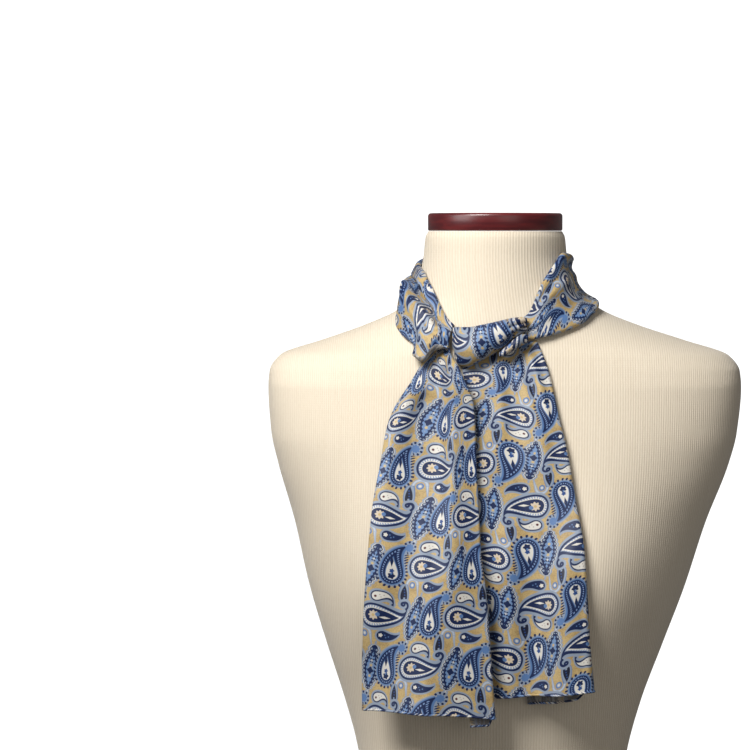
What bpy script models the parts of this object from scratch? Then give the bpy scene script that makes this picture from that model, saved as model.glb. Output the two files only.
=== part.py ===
"""A silk scarf, tied in a half knot, on a limbless dress form.

The model is at real size, with +Z up. The front of the form faces -Y and the origin is on the
counter, under the middle of the part. Sizes are in millimetres here, with Y from the neck's axis,
and `metres` turns them into the scene's metres with Y from the part's middle.

The scarf is one long band of silk. It lies folded round the neck as a collar, crosses itself in
front in a half knot, and its two tails hang off the bust. Each stretch that shows is a wall of
cloth in its own object. A table gives the sections of each stretch, and a smooth curve through
the table's rows gives the sections between them.
"""
from collections import namedtuple
from functools import lru_cache
from math import copysign, cos, exp, pi, radians, sin

import bmesh
import bpy
from mathutils import Vector

MM = 0.001
MIDDLE_Y = 7.5
WALL = 1.5
SEAM = 0.3
CLEAR = 1.3

FORM_HEIGHT = 710.0
CAP_THICKNESS = 15.0
CAP_RADIUS = 57.0
CAP_BEVEL = 2.6
CAP_FOOT = 1.0
NECK_X = -7.6
NECK_TOP = FORM_HEIGHT - CAP_THICKNESS - SEAM

FORM_SIDES = 48
CAP_SIDES = 32
FORM_BANDS = ((0, 280, 10), (280, 540, 12), (540, 660, 18), (660, NECK_TOP, 4))

BUST_X = 82.0
BUST_Z = 405.0
BUST_RISE = 30.0
BUST_WIDTH = 45.0
BUST_DROP = 58.0

Ring = namedtuple("Ring", "height axis half front back square")
FORM_RINGS = (
    Ring(0, -9, 186, 112, 120, 2.3),
    Ring(50, -9, 184, 114, 121, 2.3),
    Ring(88, -9, 177, 113, 120, 2.3),
    Ring(126, -9, 165, 109, 115, 2.3),
    Ring(152, -9, 154, 105, 108, 2.25),
    Ring(177, -9, 137, 100, 101, 2.2),
    Ring(203, -9, 119, 95, 92, 2.2),
    Ring(228, -9, 111, 92, 87, 2.2),
    Ring(258, -9, 116, 93, 89, 2.2),
    Ring(296, -9, 126, 96, 93, 2.2),
    Ring(347, -8, 143, 99, 99, 2.25),
    Ring(398, -6, 160, 100, 105, 2.3),
    Ring(449, -3.5, 174, 99, 108, 2.5),
    Ring(500, -1, 191, 96, 108, 2.8),
    Ring(526, -0.5, 197, 93, 106, 2.9),
    Ring(564, 0, 200, 85, 101, 2.9),
    Ring(577, 0, 199, 81.5, 98, 2.7),
    Ring(590, 0, 190, 78, 95, 2.35),
    Ring(602.5, -0.5, 154, 74.5, 91, 2.0),
    Ring(615, -2, 117, 71.5, 86, 1.9),
    Ring(628, -3.5, 87, 68.5, 80, 1.95),
    Ring(640, -5, 72, 66, 74, 2.0),
    Ring(655, -6.5, 65.5, 63.5, 68, 2.0),
    Ring(672, NECK_X, 61, 61, 63, 2.0),
    Ring(690, NECK_X, 59, 59, 59.5, 2.0),
    Ring(NECK_TOP, NECK_X, 56.5, 56.5, 56.5, 2.0),
)

# turn: degrees from the front, to the viewer's right. top, low: heights of the two folded edges.
# top_lift, low_lift: how far those edges stand off the form. swell: bulge of the face between
# them. groove: depth of the crease along it. curl: 1 where the low edge is folded under, below 0
# where it turns out.
Fold = namedtuple("Fold", "turn top low top_lift low_lift swell groove curl")
COLLAR_LEFT = (
    Fold(-126, 683, 646, 0, 0.2, 4, 0, 1),
    Fold(-112, 679, 644, 0, 0.2, 4, 0, 1),
    Fold(-95, 673, 641, 0, 0.2, 4, 1, 1),
    Fold(-80, 667, 637, 0, 0.2, 5, 2, 1),
    Fold(-66, 659, 627, 0, 0.2, 6, 3, 1),
    Fold(-57, 651, 617, 0, 0.2, 7, 3, 1),
    Fold(-50, 645, 608, 0, 0.5, 7, 3, 0.8),
    Fold(-43, 638, 597, 0, 1, 7, 3, 0.2),
    Fold(-37, 631, 589, 0.3, 3.5, 6, 2.5, -0.5),
    Fold(-31, 623, 597, 1, 4.5, 4, 2, -0.8),
    Fold(-24.8, 616.5, 602, 2, 3.5, 2, 1, -0.5),
)
COLLAR_BACK = (
    Fold(126, 683, 646, 0, 0.2, 4, 0, 1),
    Fold(152, 686, 648, 0, 0.2, 4, 0, 1),
    Fold(180, 688, 649, 0, 0.2, 5, 0, 1),
    Fold(208, 686, 648, 0, 0.2, 4, 0, 1),
    Fold(234, 683, 646, 0, 0.2, 4, 0, 1),
)
COLLAR_RIGHT = (
    Fold(16.5, 621, 610, 0, 0, 0, 0, 1),
    Fold(21, 625, 609, 1, 2, 1, 0, 1),
    Fold(27, 634, 611, 0.5, 2, 2, 0, 1),
    Fold(33, 644, 613, 0, 1.5, 1, 0, 1),
    Fold(42, 655, 617, 0, 0.6, -1, 0, 1),
    Fold(52, 664, 623, 0, 0.3, -3, 0, 1),
    Fold(64, 671, 630, 0, 0.2, -6, 0, 1),
    Fold(78, 676, 635, 0, 0.2, -8, 0, 1),
    Fold(92, 679, 638, 0, 0.2, -7, 0, 1),
    Fold(108, 682, 642, 0, 0.2, -1, 0, 1),
    Fold(126, 683, 646, 0, 0.2, 4, 0, 1),
)
COLLAR_COLUMNS = 14
GROOVE_PLACE = 0.27
GROOVE_WIDTH = 0.09
FOLD_LENGTH = 6.3
FOLD_DEPTH = 2 * FOLD_LENGTH / pi
SEAM_TURN = 0.45

# across: place along the knot, from the viewer's left. top, low: its edges. out: how far its
# middle stands off the form. deep: half its depth.
Bundle = namedtuple("Bundle", "across top low out deep")
KNOT_BAND = (
    Bundle(-42.2, 616, 600, 8.5, 5),
    Bundle(-37.5, 617, 585, 10.5, 7),
    Bundle(-30, 617, 583.5, 12, 10),
    Bundle(-18, 619, 589, 12.5, 12),
    Bundle(-4, 622, 597, 12.5, 12),
    Bundle(8, 624.6, 606.5, 12, 10),
    Bundle(15, 625, 611, 11, 7.5),
    Bundle(18.5, 624, 613, 10.5, 5),
)
BAND_TUCK_TOP = 115
BAND_TUCK_LOW = 92
KNOT_CORE = (
    Bundle(-38, 612, 603, 7, 3),
    Bundle(-30, 613, 595, 8.6, 7),
    Bundle(-18, 616, 600, 10.2, 8.9),
    Bundle(-4, 619, 606, 10.3, 9),
    Bundle(4, 621, 611, 9.8, 8),
    Bundle(9, 621, 614, 8.5, 5),
)
KNOT_ROLL = (
    Bundle(-4, 596, 592.4, 14, 1.7),
    Bundle(2, 601.6, 594.2, 15.5, 3.6),
    Bundle(9, 607.6, 598.4, 15.5, 4.4),
    Bundle(15, 611, 601.8, 14, 4.4),
    Bundle(19.5, 610.5, 603.6, 12, 3),
)

# height: level of the section. tilt: how far its right end is above its left. arch: how far its
# middle is above its ends. left, right: its ends. lift_left, lift_right: how far the ends stand
# off the hanging line. back: width of the strip turned back behind the right end. fold: distance
# between the strip and the front.
Hang = namedtuple("Hang", "height tilt arch left right lift_left lift_right back fold")
TAIL_LEFT = (
    Hang(600, 0, 0, -57, -45, 2.4, 5.5, 1, 1.8),
    Hang(595, 0, 0, -61, -44, 2.6, 9, 1, 1.8),
    Hang(590, 0, 0, -65, -41.5, 3.5, 14.5, 1, 1.8),
    Hang(584, 0, 0, -69, -37, 4.5, 19, 2, 2),
    Hang(576, 0, 0, -73.5, -33.6, 4, 18.5, 3, 2.2),
    Hang(565, 0, 0, -80.2, -28.2, 3, 16.5, 5, 2.5),
    Hang(555, 0, 0, -87, -25, 2.2, 14, 7, 3),
    Hang(536, 0, 0, -95, -23.5, 1.7, 12, 10, 3),
    Hang(508, 0, 0, -100, -22.5, 1.7, 11, 12, 3),
    Hang(470, 0, 0, -106.5, -20.4, 3.5, 11, 14, 3),
    Hang(436, 0, 0, -109.5, -18.5, 5, 11, 15, 3.2),
    Hang(400, 0, 0, -112.2, -13.8, 6, 11, 16, 3.4),
    Hang(365, 0, 1, -114, -11, 7, 11.5, 17, 3.7),
    Hang(335, 0, 2, -115, -9, 8, 12, 18, 4),
    Hang(304, -2, 3.5, -115, -6.5, 9, 12.5, 18, 4.4),
)
TAIL_RIGHT = (
    Hang(598, 14, 2, -34, 26.5, 2.4, 2.8, 3, 1.7),
    Hang(588, 13, 1, -34, 31, 2.4, 4, 6, 2),
    Hang(577, 11, 0, -32, 35.5, 2.4, 5.5, 12, 3),
    Hang(562, 6, 0, -30, 40, 2.4, 6.2, 20, 4),
    Hang(545, 2, 0, -28, 44, 2.4, 6.5, 28, 4),
    Hang(520, 0, 0, -26, 50.5, 2.4, 6.8, 36, 4.2),
    Hang(480, 0, 0, -24, 57.5, 2.4, 7, 42, 4.5),
    Hang(440, 0, 0, -20, 64.5, 2.4, 7.5, 46, 5),
    Hang(400, 2, 0, -17, 67.2, 2.2, 8, 48, 6),
    Hang(360, 5, 0, -15, 69.5, 2, 10, 48, 8),
    Hang(321, 9, -1, -14, 73, 2, 13, 48, 10.5),
)
BACK_DROP = 9.0
FRONT_SHARE = 0.68
BEND_SHARE = 0.16
HANG_STEP = 3.0

# middle, width: place and spread across the front, as shares of its width. rise: height of the
# ridge. start, end: the heights between which it shows. A tail goes from its left lift to its
# right lift over a share of its width, its rise.
Ridge = namedtuple("Ridge", "middle width rise start end")
RIDGES_LEFT = (
    Ridge(0.74, 0.06, 4.0, 592, 400),
    Ridge(0.45, 0.09, 2.6, 575, 300),
    Ridge(0.16, 0.07, 2.4, 560, 300),
)
RIDGES_RIGHT = (
    Ridge(0.62, 0.08, 2.6, 585, 380),
    Ridge(0.88, 0.06, 2.2, 580, 310),
)
RIDGE_START = 30.0
RIDGE_END = 60.0
RIDGE_EDGE = 0.92
RISE_LEFT = 1.0
RISE_RIGHT = 0.45

Finish = namedtuple("Finish", "colour roughness metallic")
SILK = Finish((0.52, 0.42, 0.28), 0.35, 0.0)
JERSEY = Finish((0.78, 0.70, 0.56), 0.85, 0.0)
MAHOGANY = Finish((0.13, 0.02, 0.02), 0.2, 0.0)


def slope_at(rows, index, column):
    """Give the slope of a table's column at one of its rows."""
    if index == 0:
        return slope_between(rows, 0, column)
    if index == len(rows) - 1:
        return slope_between(rows, index - 1, column)
    before = slope_between(rows, index - 1, column)
    after = slope_between(rows, index, column)
    if before * after <= 0:
        return 0.0
    return 2 * before * after / (before + after)


def slope_between(rows, index, column):
    """Give the slope of a table's column from one row to the next."""
    return (rows[index + 1][column] - rows[index][column]) / (rows[index + 1][0] - rows[index][0])


def section_at(rows, key):
    """Give a table's row at any value of its first column, on a smooth curve without overshoot."""
    rows = sorted(rows)
    key = min(max(key, rows[0][0]), rows[-1][0])
    start = max(index for index, row in enumerate(rows[:-1]) if row[0] <= key)
    step = rows[start + 1][0] - rows[start][0]
    share = (key - rows[start][0]) / step
    values = [key]
    for column in range(1, len(rows[0])):
        value = (2 * share ** 3 - 3 * share ** 2 + 1) * rows[start][column]
        value += (share ** 3 - 2 * share ** 2 + share) * step * slope_at(rows, start, column)
        value += (3 * share ** 2 - 2 * share ** 3) * rows[start + 1][column]
        value += (share ** 3 - share ** 2) * step * slope_at(rows, start + 1, column)
        values.append(value)
    return type(rows[0])(*values)


def ease(start, end, value):
    """Go smoothly from 0 at `start` to 1 at `end`."""
    share = min(max((value - start) / (end - start), 0.0), 1.0)
    return share * share * (3 - 2 * share)


@lru_cache(maxsize=None)
def form_ring(height):
    """Give the form's section at a height."""
    return section_at(FORM_RINGS, height)


def bust(x, height):
    """Give how far the bust swells the front of the form."""
    fade = exp(-((height - BUST_Z) / BUST_DROP) ** 2 / 2)
    left = exp(-((x + BUST_X) / BUST_WIDTH) ** 2 / 2)
    right = exp(-((x - BUST_X) / BUST_WIDTH) ** 2 / 2)
    return BUST_RISE * (left + right) * fade


def form_reach(x, height):
    """Give how far forward the form's front is at a place across it and a height."""
    ring = form_ring(height)
    across = min(abs(x - ring.axis) / ring.half, 1.0)
    return ring.front * (1 - across ** ring.square) ** (1 / ring.square) + bust(x, height)


def form_excess(point):
    """Give a value that is 0 on the form's surface and grows outwards."""
    ring = form_ring(round(point.z, 2))
    depth = ring.front + bust(point.x, point.z) if point.y < 0 else ring.back
    across = abs(point.x - ring.axis) / ring.half
    along = abs(point.y) / depth
    return (across ** ring.square + along ** ring.square) ** (1 / ring.square) - 1


def form_slope(point):
    """Give the slope of `form_excess` for each millimetre, which points away from the form."""
    half = 0.5
    steps = (Vector((half, 0, 0)), Vector((0, half, 0)), Vector((0, 0, half)))
    return Vector([form_excess(point + step) - form_excess(point - step) for step in steps])


def form_gap(point):
    """Give the distance from the form's surface, near enough for points close to it."""
    return form_excess(point) / form_slope(point).length


def off_form(point, gap):
    """Move a point straight away from the form until it is at least `gap` off it."""
    for _ in range(4):
        short = gap - form_gap(point)
        if short <= 0:
            break
        point = point + form_slope(point).normalized() * short
    return point


def neck_point(turn, height, gap):
    """Give the point at a turn round the neck and a height that is `gap` off the form."""
    inner = CAP_RADIUS / 2
    outer = FORM_HEIGHT / 2
    for _ in range(24):
        radius = (inner + outer) / 2
        point = Vector((NECK_X + radius * sin(radians(turn)), -radius * cos(radians(turn)), height))
        if form_gap(point) < gap:
            inner = radius
        else:
            outer = radius
    return point


@lru_cache(maxsize=None)
def hang_reach(x, height):
    """Give how far forward cloth hangs: as far as the form reaches at this height or above."""
    reach = form_reach(x, height)
    level = height + HANG_STEP
    while level < TAIL_LEFT[0].height:
        reach = max(reach, form_reach(x, level))
        level += HANG_STEP
    return reach


def collar_point(rows, turn, share):
    """Give a point of the collar's wall, from the tip of its top fold to the tip of its low fold."""
    fold = section_at(rows, turn)
    stand = FOLD_DEPTH + CLEAR
    top = neck_point(turn, fold.top, stand + fold.top_lift)
    low = neck_point(turn, fold.low, stand + fold.low_lift)
    down = (low - top).normalized()
    face = (low - top).length
    run = share * (face + 2 * FOLD_LENGTH) - FOLD_LENGTH
    along = min(max(run / face, 0.0), 1.0)
    away = form_slope(top).normalized().lerp(form_slope(low).normalized(), along).normalized()
    bulge = fold.swell * 4 * along * (1 - along)
    bulge -= fold.groove * exp(-((along - GROOVE_PLACE) / GROOVE_WIDTH) ** 2)
    point = top.lerp(low, along) + away * bulge
    if run < 0:
        point += fold_over(-down, away, -run, 1.0)
    if run > face:
        point += fold_over(down, away, run - face, fold.curl)
    return off_form(point, CLEAR)


def fold_over(onward, away, run, curl):
    """Give the way round a folded edge, which turns through `curl` half turns, away from `away`."""
    bend = curl * pi / FOLD_LENGTH
    return onward * (sin(bend * run) / bend) - away * ((1 - cos(bend * run)) / bend)


def tail_point(rows, ridges, rise, along, across):
    """Give a point of a tail's wall: across its front, round its right fold and back behind."""
    row = section_at(rows, rows[0].height + (rows[-1].height - rows[0].height) * along)
    radius = row.fold / 2
    front = row.right - row.left - radius
    tuck = max((across - FRONT_SHARE - BEND_SHARE) / (1 - FRONT_SHARE - BEND_SHARE), 0.0)
    angle = pi * min(max((across - FRONT_SHARE) / BEND_SHARE, 0.0), 1.0)
    x = row.left + front * min(across / FRONT_SHARE, 1.0) + radius * sin(angle) - row.back * tuck
    share = min((x - row.left) / front, 1.0)
    height = row.height + row.tilt * (share - 0.5) + row.arch * 4 * share * (1 - share)
    height -= BACK_DROP * along ** 3 * tuck
    lift = row.lift_left + (row.lift_right - row.lift_left) * ease(0, rise, share)
    lift -= radius * (1 - cos(angle))
    if angle == 0:
        lift += sum(ridge_rise(ridge, share, height) for ridge in ridges)
    y = -(hang_reach(round(x, 3), round(height, 3)) + lift)
    return off_form(Vector((x, y, height)), CLEAR)


def ridge_rise(ridge, share, height):
    """Give how far a soft ridge stands out of a tail at a place on its front."""
    start = ease(ridge.start, ridge.start - RIDGE_START, height)
    end = ease(ridge.end, ridge.end + RIDGE_END, height)
    edge = ease(1.0, RIDGE_EDGE, share)
    return ridge.rise * start * end * edge * exp(-((share - ridge.middle) / ridge.width) ** 2)


def bundle_point(row, angle, inset):
    """Give a point round a section of the knot, `inset` inside its outline."""
    middle = (row.top + row.low) / 2
    half = (row.top - row.low) / 2 - inset
    reach = form_reach(row.across, middle) + row.out + (row.deep - inset) * cos(angle)
    return Vector((row.across, -reach, middle + half * sin(angle)))


def between(rows, share):
    """Give a table's section at a share of the way from its first row to its last."""
    return section_at(rows, rows[0][0] + (rows[-1][0] - rows[0][0]) * share)


def band_point(along, across):
    """Give a point of the knot's front wall, from behind its top to behind its low edge."""
    angle = radians(BAND_TUCK_TOP - (BAND_TUCK_TOP + BAND_TUCK_LOW) * across)
    return bundle_point(between(KNOT_BAND, along), angle, WALL / 2)


def metres(point):
    """Turn a point in millimetres from the neck's axis into metres from the part's middle."""
    return (point.x * MM, (point.y + MIDDLE_Y) * MM, point.z * MM)


def finish_material(name, finish):
    """Make a plain material."""
    material = bpy.data.materials.new(name)
    material.use_nodes = True
    shader = material.node_tree.nodes["Principled BSDF"]
    shader.inputs["Base Color"].default_value = (*finish.colour, 1.0)
    shader.inputs["Roughness"].default_value = finish.roughness
    shader.inputs["Metallic"].default_value = finish.metallic
    return material


def place(name, build, material):
    """Put a mesh in the scene as one named object, smooth but for its sharp edges."""
    mesh = bpy.data.meshes.new(name)
    build.to_mesh(mesh)
    build.free()
    mesh.materials.append(material)
    mesh.shade_smooth()
    mesh.set_sharp_from_angle(angle=radians(40))
    piece = bpy.data.objects.new(name, mesh)
    bpy.context.scene.collection.objects.link(piece)
    return piece


def cloth(name, material, columns, rows, point):
    """Make a wall of cloth on the middle surface that `point(along, across)` gives."""
    build = bmesh.new()
    bmesh.ops.create_grid(build, x_segments=columns, y_segments=rows, size=0.5)
    for vertex in build.verts:
        vertex.co = metres(point(vertex.co.y + 0.5, vertex.co.x + 0.5))
    shell = place(name, build, material).modifiers.new("Wall", "SOLIDIFY")
    shell.thickness = WALL * MM
    shell.offset = 0.0


def loft(name, material, rings):
    """Make a closed solid through rings of points, with a flat face at each end."""
    build = bmesh.new()
    loops = [[build.verts.new(metres(point)) for point in ring] for ring in rings]
    for first, second in zip(loops, loops[1:]):
        for index in range(len(first)):
            after = (index + 1) % len(first)
            build.faces.new((first[index], first[after], second[after], second[index]))
    build.faces.new(loops[0][::-1])
    build.faces.new(loops[-1])
    bmesh.ops.recalc_face_normals(build, faces=build.faces)
    place(name, build, material)


def turns(sides):
    """Give the angles of a ring's points."""
    return [2 * pi * side / sides for side in range(sides)]


def form_point(height, angle):
    """Give a point of the form's surface, round from its front to the viewer's right."""
    ring = form_ring(height)
    power = 2 / ring.square
    x = ring.axis + copysign(ring.half * abs(sin(angle)) ** power, sin(angle))
    if cos(angle) > 0:
        return Vector((x, -form_reach(x, height), height))
    return Vector((x, ring.back * abs(cos(angle)) ** power, height))


def form_torso():
    """Make the dress form from its flat bottom to the top of its neck."""
    heights = [NECK_TOP]
    for low, high, count in FORM_BANDS:
        heights += [low + (high - low) * index / count for index in range(count)]
    rings = [[form_point(height, angle) for angle in turns(FORM_SIDES)] for height in sorted(heights)]
    loft("form_torso", finish_material("jersey", JERSEY), rings)


def neck_cap():
    """Make the turned wooden cap on the neck."""
    bottom = FORM_HEIGHT - CAP_THICKNESS
    profile = (
        (CAP_RADIUS - CAP_FOOT, bottom),
        (CAP_RADIUS, bottom + CAP_FOOT),
        (CAP_RADIUS, FORM_HEIGHT - CAP_BEVEL),
        (CAP_RADIUS - 0.3 * CAP_BEVEL, FORM_HEIGHT - 0.3 * CAP_BEVEL),
        (CAP_RADIUS - CAP_BEVEL, FORM_HEIGHT),
    )
    rings = []
    for radius, height in profile:
        middle = Vector((NECK_X, 0, height))
        rings.append([middle + Vector((radius * sin(a), -radius * cos(a), 0)) for a in turns(CAP_SIDES)])
    loft("neck_cap", finish_material("mahogany", MAHOGANY), rings)


def collar(name, material, rows, count):
    """Make one stretch of the folded collar, short of each end by half a seam."""
    first = rows[0].turn + SEAM_TURN / 2
    last = rows[-1].turn - SEAM_TURN / 2
    cloth(name, material, COLLAR_COLUMNS, count, lambda along, across: collar_point(
        rows, first + (last - first) * along, across))


def bundle(name, material, rows, count, sides):
    """Make a rounded bundle of gathered cloth through sections across the knot."""
    rings = []
    for index in range(count + 1):
        row = between(rows, index / count)
        rings.append([bundle_point(row, angle, 0) for angle in turns(sides)])
    loft(name, material, rings)


def scarf():
    """Make every stretch of the scarf that shows, and the gather inside its knot."""
    silk = finish_material("silk", SILK)
    collar("collar_left", silk, COLLAR_LEFT, 18)
    collar("collar_back", silk, COLLAR_BACK, 14)
    collar("collar_right", silk, COLLAR_RIGHT, 18)
    cloth("knot_band", silk, 12, 16, band_point)
    bundle("knot_core", silk, KNOT_CORE, 10, 12)
    bundle("knot_roll", silk, KNOT_ROLL, 8, 10)
    cloth("tail_left", silk, 24, 30, lambda along, across: tail_point(
        TAIL_LEFT, RIDGES_LEFT, RISE_LEFT, along, across))
    cloth("tail_right", silk, 25, 28, lambda along, across: tail_point(
        TAIL_RIGHT, RIDGES_RIGHT, RISE_RIGHT, along, across))


def main():
    """Clear the scene and make the form and the scarf."""
    for item in list(bpy.data.objects):
        bpy.data.objects.remove(item, do_unlink=True)
    form_torso()
    neck_cap()
    scarf()


main()
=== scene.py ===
"""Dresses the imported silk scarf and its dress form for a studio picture.

The scarf is one long band of printed silk satin. It is folded round the neck of a limbless dress
form, tied in front in a half knot, and its two tails hang off the bust. Sizes are in millimetres,
with Y from the neck's axis, until `metres` turns them into the frame's metres.
"""
import logging
from dataclasses import dataclass
from enum import Enum
from functools import lru_cache
from math import copysign, cos, exp, pi, radians, sin
from typing import Any, Callable, NamedTuple, Optional, Sequence, Union

import bmesh
import bpy
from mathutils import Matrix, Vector

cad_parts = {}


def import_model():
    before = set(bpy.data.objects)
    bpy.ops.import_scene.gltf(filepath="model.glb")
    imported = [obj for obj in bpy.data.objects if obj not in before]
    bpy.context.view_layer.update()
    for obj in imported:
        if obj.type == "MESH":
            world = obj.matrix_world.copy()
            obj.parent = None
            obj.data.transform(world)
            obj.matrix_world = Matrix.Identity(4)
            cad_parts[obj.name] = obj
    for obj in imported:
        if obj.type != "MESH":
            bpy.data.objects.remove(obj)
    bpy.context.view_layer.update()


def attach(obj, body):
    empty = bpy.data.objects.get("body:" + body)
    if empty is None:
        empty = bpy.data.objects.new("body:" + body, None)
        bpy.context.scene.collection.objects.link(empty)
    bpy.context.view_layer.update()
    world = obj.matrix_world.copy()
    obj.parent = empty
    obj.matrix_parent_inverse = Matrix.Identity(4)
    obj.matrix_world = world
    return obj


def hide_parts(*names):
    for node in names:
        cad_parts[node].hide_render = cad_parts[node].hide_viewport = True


Socket = bpy.types.NodeSocket
Colour = tuple[float, float, float]
Number = Union[float, "Signal"]
WHITE = (1.0, 1.0, 1.0)
ORIGIN = (0.0, 0.0, 0.0)


def paint(red: int, green: int, blue: int) -> Colour:
    """Turn a colour in screen values from 0 to 255 into the shader's linear values."""
    shares = [value / 255 for value in (red, green, blue)]
    return tuple(v / 12.92 if v <= 0.04045 else ((v + 0.055) / 1.055) ** 2.4 for v in shares)


def operator(operation: str, reflected: bool = False) -> Callable[["Signal", Number], "Signal"]:
    """Give a method that adds a Math node for an operator.

    Args:
        operation: The node's operation.
        reflected: Whether the plain number stands before the signal.

    Returns:
        The method.
    """
    def method(self: "Signal", other: Number) -> "Signal":
        """Add the node and give its result."""
        return self.recipe.math(operation, *((other, self) if reflected else (self, other)))

    return method


class Signal:
    """A number that varies over a surface, with operators that add Math nodes."""

    def __init__(self, recipe: "Recipe", socket: Socket) -> None:
        """Wrap a node's output."""
        self.recipe = recipe
        self.socket = socket

    __add__ = __radd__ = operator("ADD")
    __sub__ = operator("SUBTRACT")
    __rsub__ = operator("SUBTRACT", reflected=True)
    __mul__ = __rmul__ = operator("MULTIPLY")
    __truediv__ = operator("DIVIDE")
    __rtruediv__ = operator("DIVIDE", reflected=True)
    __pow__ = operator("POWER")
    __lt__ = operator("LESS_THAN")
    __gt__ = operator("GREATER_THAN")

    def __neg__(self) -> "Signal":
        """Change the sign."""
        return self * -1.0

    def __abs__(self) -> "Signal":
        """Drop the sign."""
        return self.recipe.math("ABSOLUTE", self)


class Recipe:
    """One material, written as a chain of nodes."""

    def __init__(self, name: str) -> None:
        """Start a material with its shader.

        Args:
            name: The material's name.
        """
        self.material = bpy.data.materials.new(name)
        self.material.use_nodes = True
        self.tree = self.material.node_tree
        self.shader = self.tree.nodes["Principled BSDF"]

    def node(self, kind: str, settings: Optional[dict] = None,
             inputs: Optional[dict] = None) -> bpy.types.Node:
        """Add a node.

        Args:
            kind: The node's type, without its prefix.
            settings: Attributes, or a ramp's stops, which are set first.
            inputs: Values or links, by the socket's name or number.

        Returns:
            The node.
        """
        made = self.tree.nodes.new("ShaderNode" + kind)
        for name, value in (settings or {}).items():
            if name == "stops":
                self.lay_stops(made.color_ramp.elements, value)
            else:
                setattr(made, name, value)
        for name, value in (inputs or {}).items():
            self.feed(made.inputs[name], value)
        return made

    @staticmethod
    def lay_stops(elements: bpy.types.ColorRampElements, stops: Sequence[tuple]) -> None:
        """Set a ramp's stops, of which a new ramp has two.

        Args:
            elements: The ramp's stops.
            stops: The place, colour and cover of each.
        """
        for index, (place, colour, cover) in enumerate(stops):
            element = elements[index] if index < 2 else elements.new(place)
            element.position = place
            element.color = (*colour, cover)

    def feed(self, socket: Socket, value: Any) -> None:
        """Link something to a socket, or set the socket's own value.

        Args:
            socket: The input.
            value: A signal, an output, or a plain value.
        """
        if isinstance(value, Signal):
            value = value.socket
        if isinstance(value, Socket):
            self.tree.links.new(value, socket)
        else:
            socket.default_value = value

    def math(self, operation: str, *values: Number) -> Signal:
        """Add a Math node and give its result."""
        made = self.node("Math", {"operation": operation}, dict(enumerate(values)))
        return Signal(self, made.outputs[0])

    def vector(self, operation: str, *values: Any) -> Socket:
        """Add a Vector Math node and give its vector."""
        return self.node("VectorMath", {"operation": operation}, dict(enumerate(values))).outputs[0]

    def measure(self, vector: Socket, point: Sequence[float] = ORIGIN) -> Signal:
        """Give the distance of a vector from a point."""
        made = self.node("VectorMath", {"operation": "DISTANCE"}, {0: vector, 1: point})
        return Signal(self, made.outputs["Value"])

    def split(self, vector: Socket) -> tuple[Signal, Signal, Signal]:
        """Give the three parts of a vector."""
        made = self.node("SeparateXYZ", inputs={0: vector})
        return tuple(Signal(self, made.outputs[index]) for index in range(3))

    def step(self, value: Signal, low: float, high: float) -> Signal:
        """Go smoothly from 0 at one value to 1 at another.

        Args:
            value: What the step goes by.
            low: The value that gives 0.
            high: The value that gives 1.

        Returns:
            A share from 0 to 1.
        """
        inputs = {"Value": value, "From Min": low, "From Max": high}
        return Signal(self, self.node("MapRange", {"interpolation_type": "SMOOTHSTEP"}, inputs).outputs[0])

    def mix(self, factor: Number, first: Any, second: Any) -> Socket:
        """Mix two colours.

        Args:
            factor: The second colour's share.
            first: A colour or an output.
            second: A colour or an output.

        Returns:
            The mixed colour.
        """
        made = self.node("Mix", {"data_type": "RGBA"}, {0: factor})
        for index, value in ((6, first), (7, second)):
            self.feed(made.inputs[index], (*value, 1.0) if isinstance(value, tuple) else value)
        return made.outputs[2]

    def ramp(self, value: Signal, stops: Sequence[tuple]) -> tuple[Socket, Signal]:
        """Turn a number from 0 to 1 into a colour and how much it covers, by a ramp's stops."""
        made = self.node("ValToRGB", {"stops": stops}, {0: value})
        return made.outputs[0], Signal(self, made.outputs[1])

    def noise(self, vector: Socket, scale: float, detail: float = 2.0) -> Signal:
        """Give soft noise around a half."""
        made = self.node("TexNoise", inputs={"Vector": vector, "Scale": scale, "Detail": detail})
        return Signal(self, made.outputs[0])

    def cloth(self) -> Socket:
        """Give the place on the piece's own cloth map in millimetres."""
        chart = self.node("UVMap", {"uv_map": CLOTH_MAP}).outputs[0]
        return self.vector("MULTIPLY", chart, (1 / MM, 1 / MM, 0.0))

    def bump(self, height: Signal, depth: float) -> None:
        """Raise the surface by a height, which is a share of `depth` in metres."""
        made = self.node("Bump", inputs={"Strength": 1.0, "Distance": depth, "Height": height})
        self.feed(self.shader.inputs["Normal"], made.outputs[0])

    def set(self, values: dict[str, Any]) -> None:
        """Set or link the shader's own sockets, by their names."""
        for name, value in values.items():
            self.feed(self.shader.inputs[name], value)


MM = 0.001
CLOTH_MAP = "cloth"
NAVY = paint(3, 29, 74)
BLUE = paint(38, 72, 132)
SKY = paint(86, 120, 170)
STEEL = paint(106, 138, 184)
BEAD = paint(124, 152, 198)
MIST = paint(136, 156, 186)
SCALLOP = paint(138, 154, 184)
PALE = paint(140, 153, 173)
FROST = paint(184, 192, 202)
CREAM = paint(216, 213, 206)
SAND = paint(206, 192, 172)
GOLD = paint(198, 173, 121)
UMBER = paint(160, 134, 88)
RUSSET = paint(84, 38, 40)
DARK = paint(16, 22, 46)


class Drop(NamedTuple):
    """A curved drop of the print. Places are in millimetres from the middle of a repeat.

    room: the middle of the room that it takes. head: the centre of its round end. aim: the
    direction of its tail there. curl: how far the tail has turned at its tip, and power how
    suddenly. radius, length: from the head's centre to its back and to its tip. taper: how
    quickly it narrows.
    """

    room: tuple[float, float]
    head: tuple[float, float]
    aim: float
    curl: float
    power: float
    radius: float
    length: float
    taper: float


class Mark(NamedTuple):
    """A small mark on a motif: a flower, or a dot where it has no petals."""

    x: float
    y: float
    radius: float
    petals: int
    colour: Colour
    cover: float = 1.0


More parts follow.
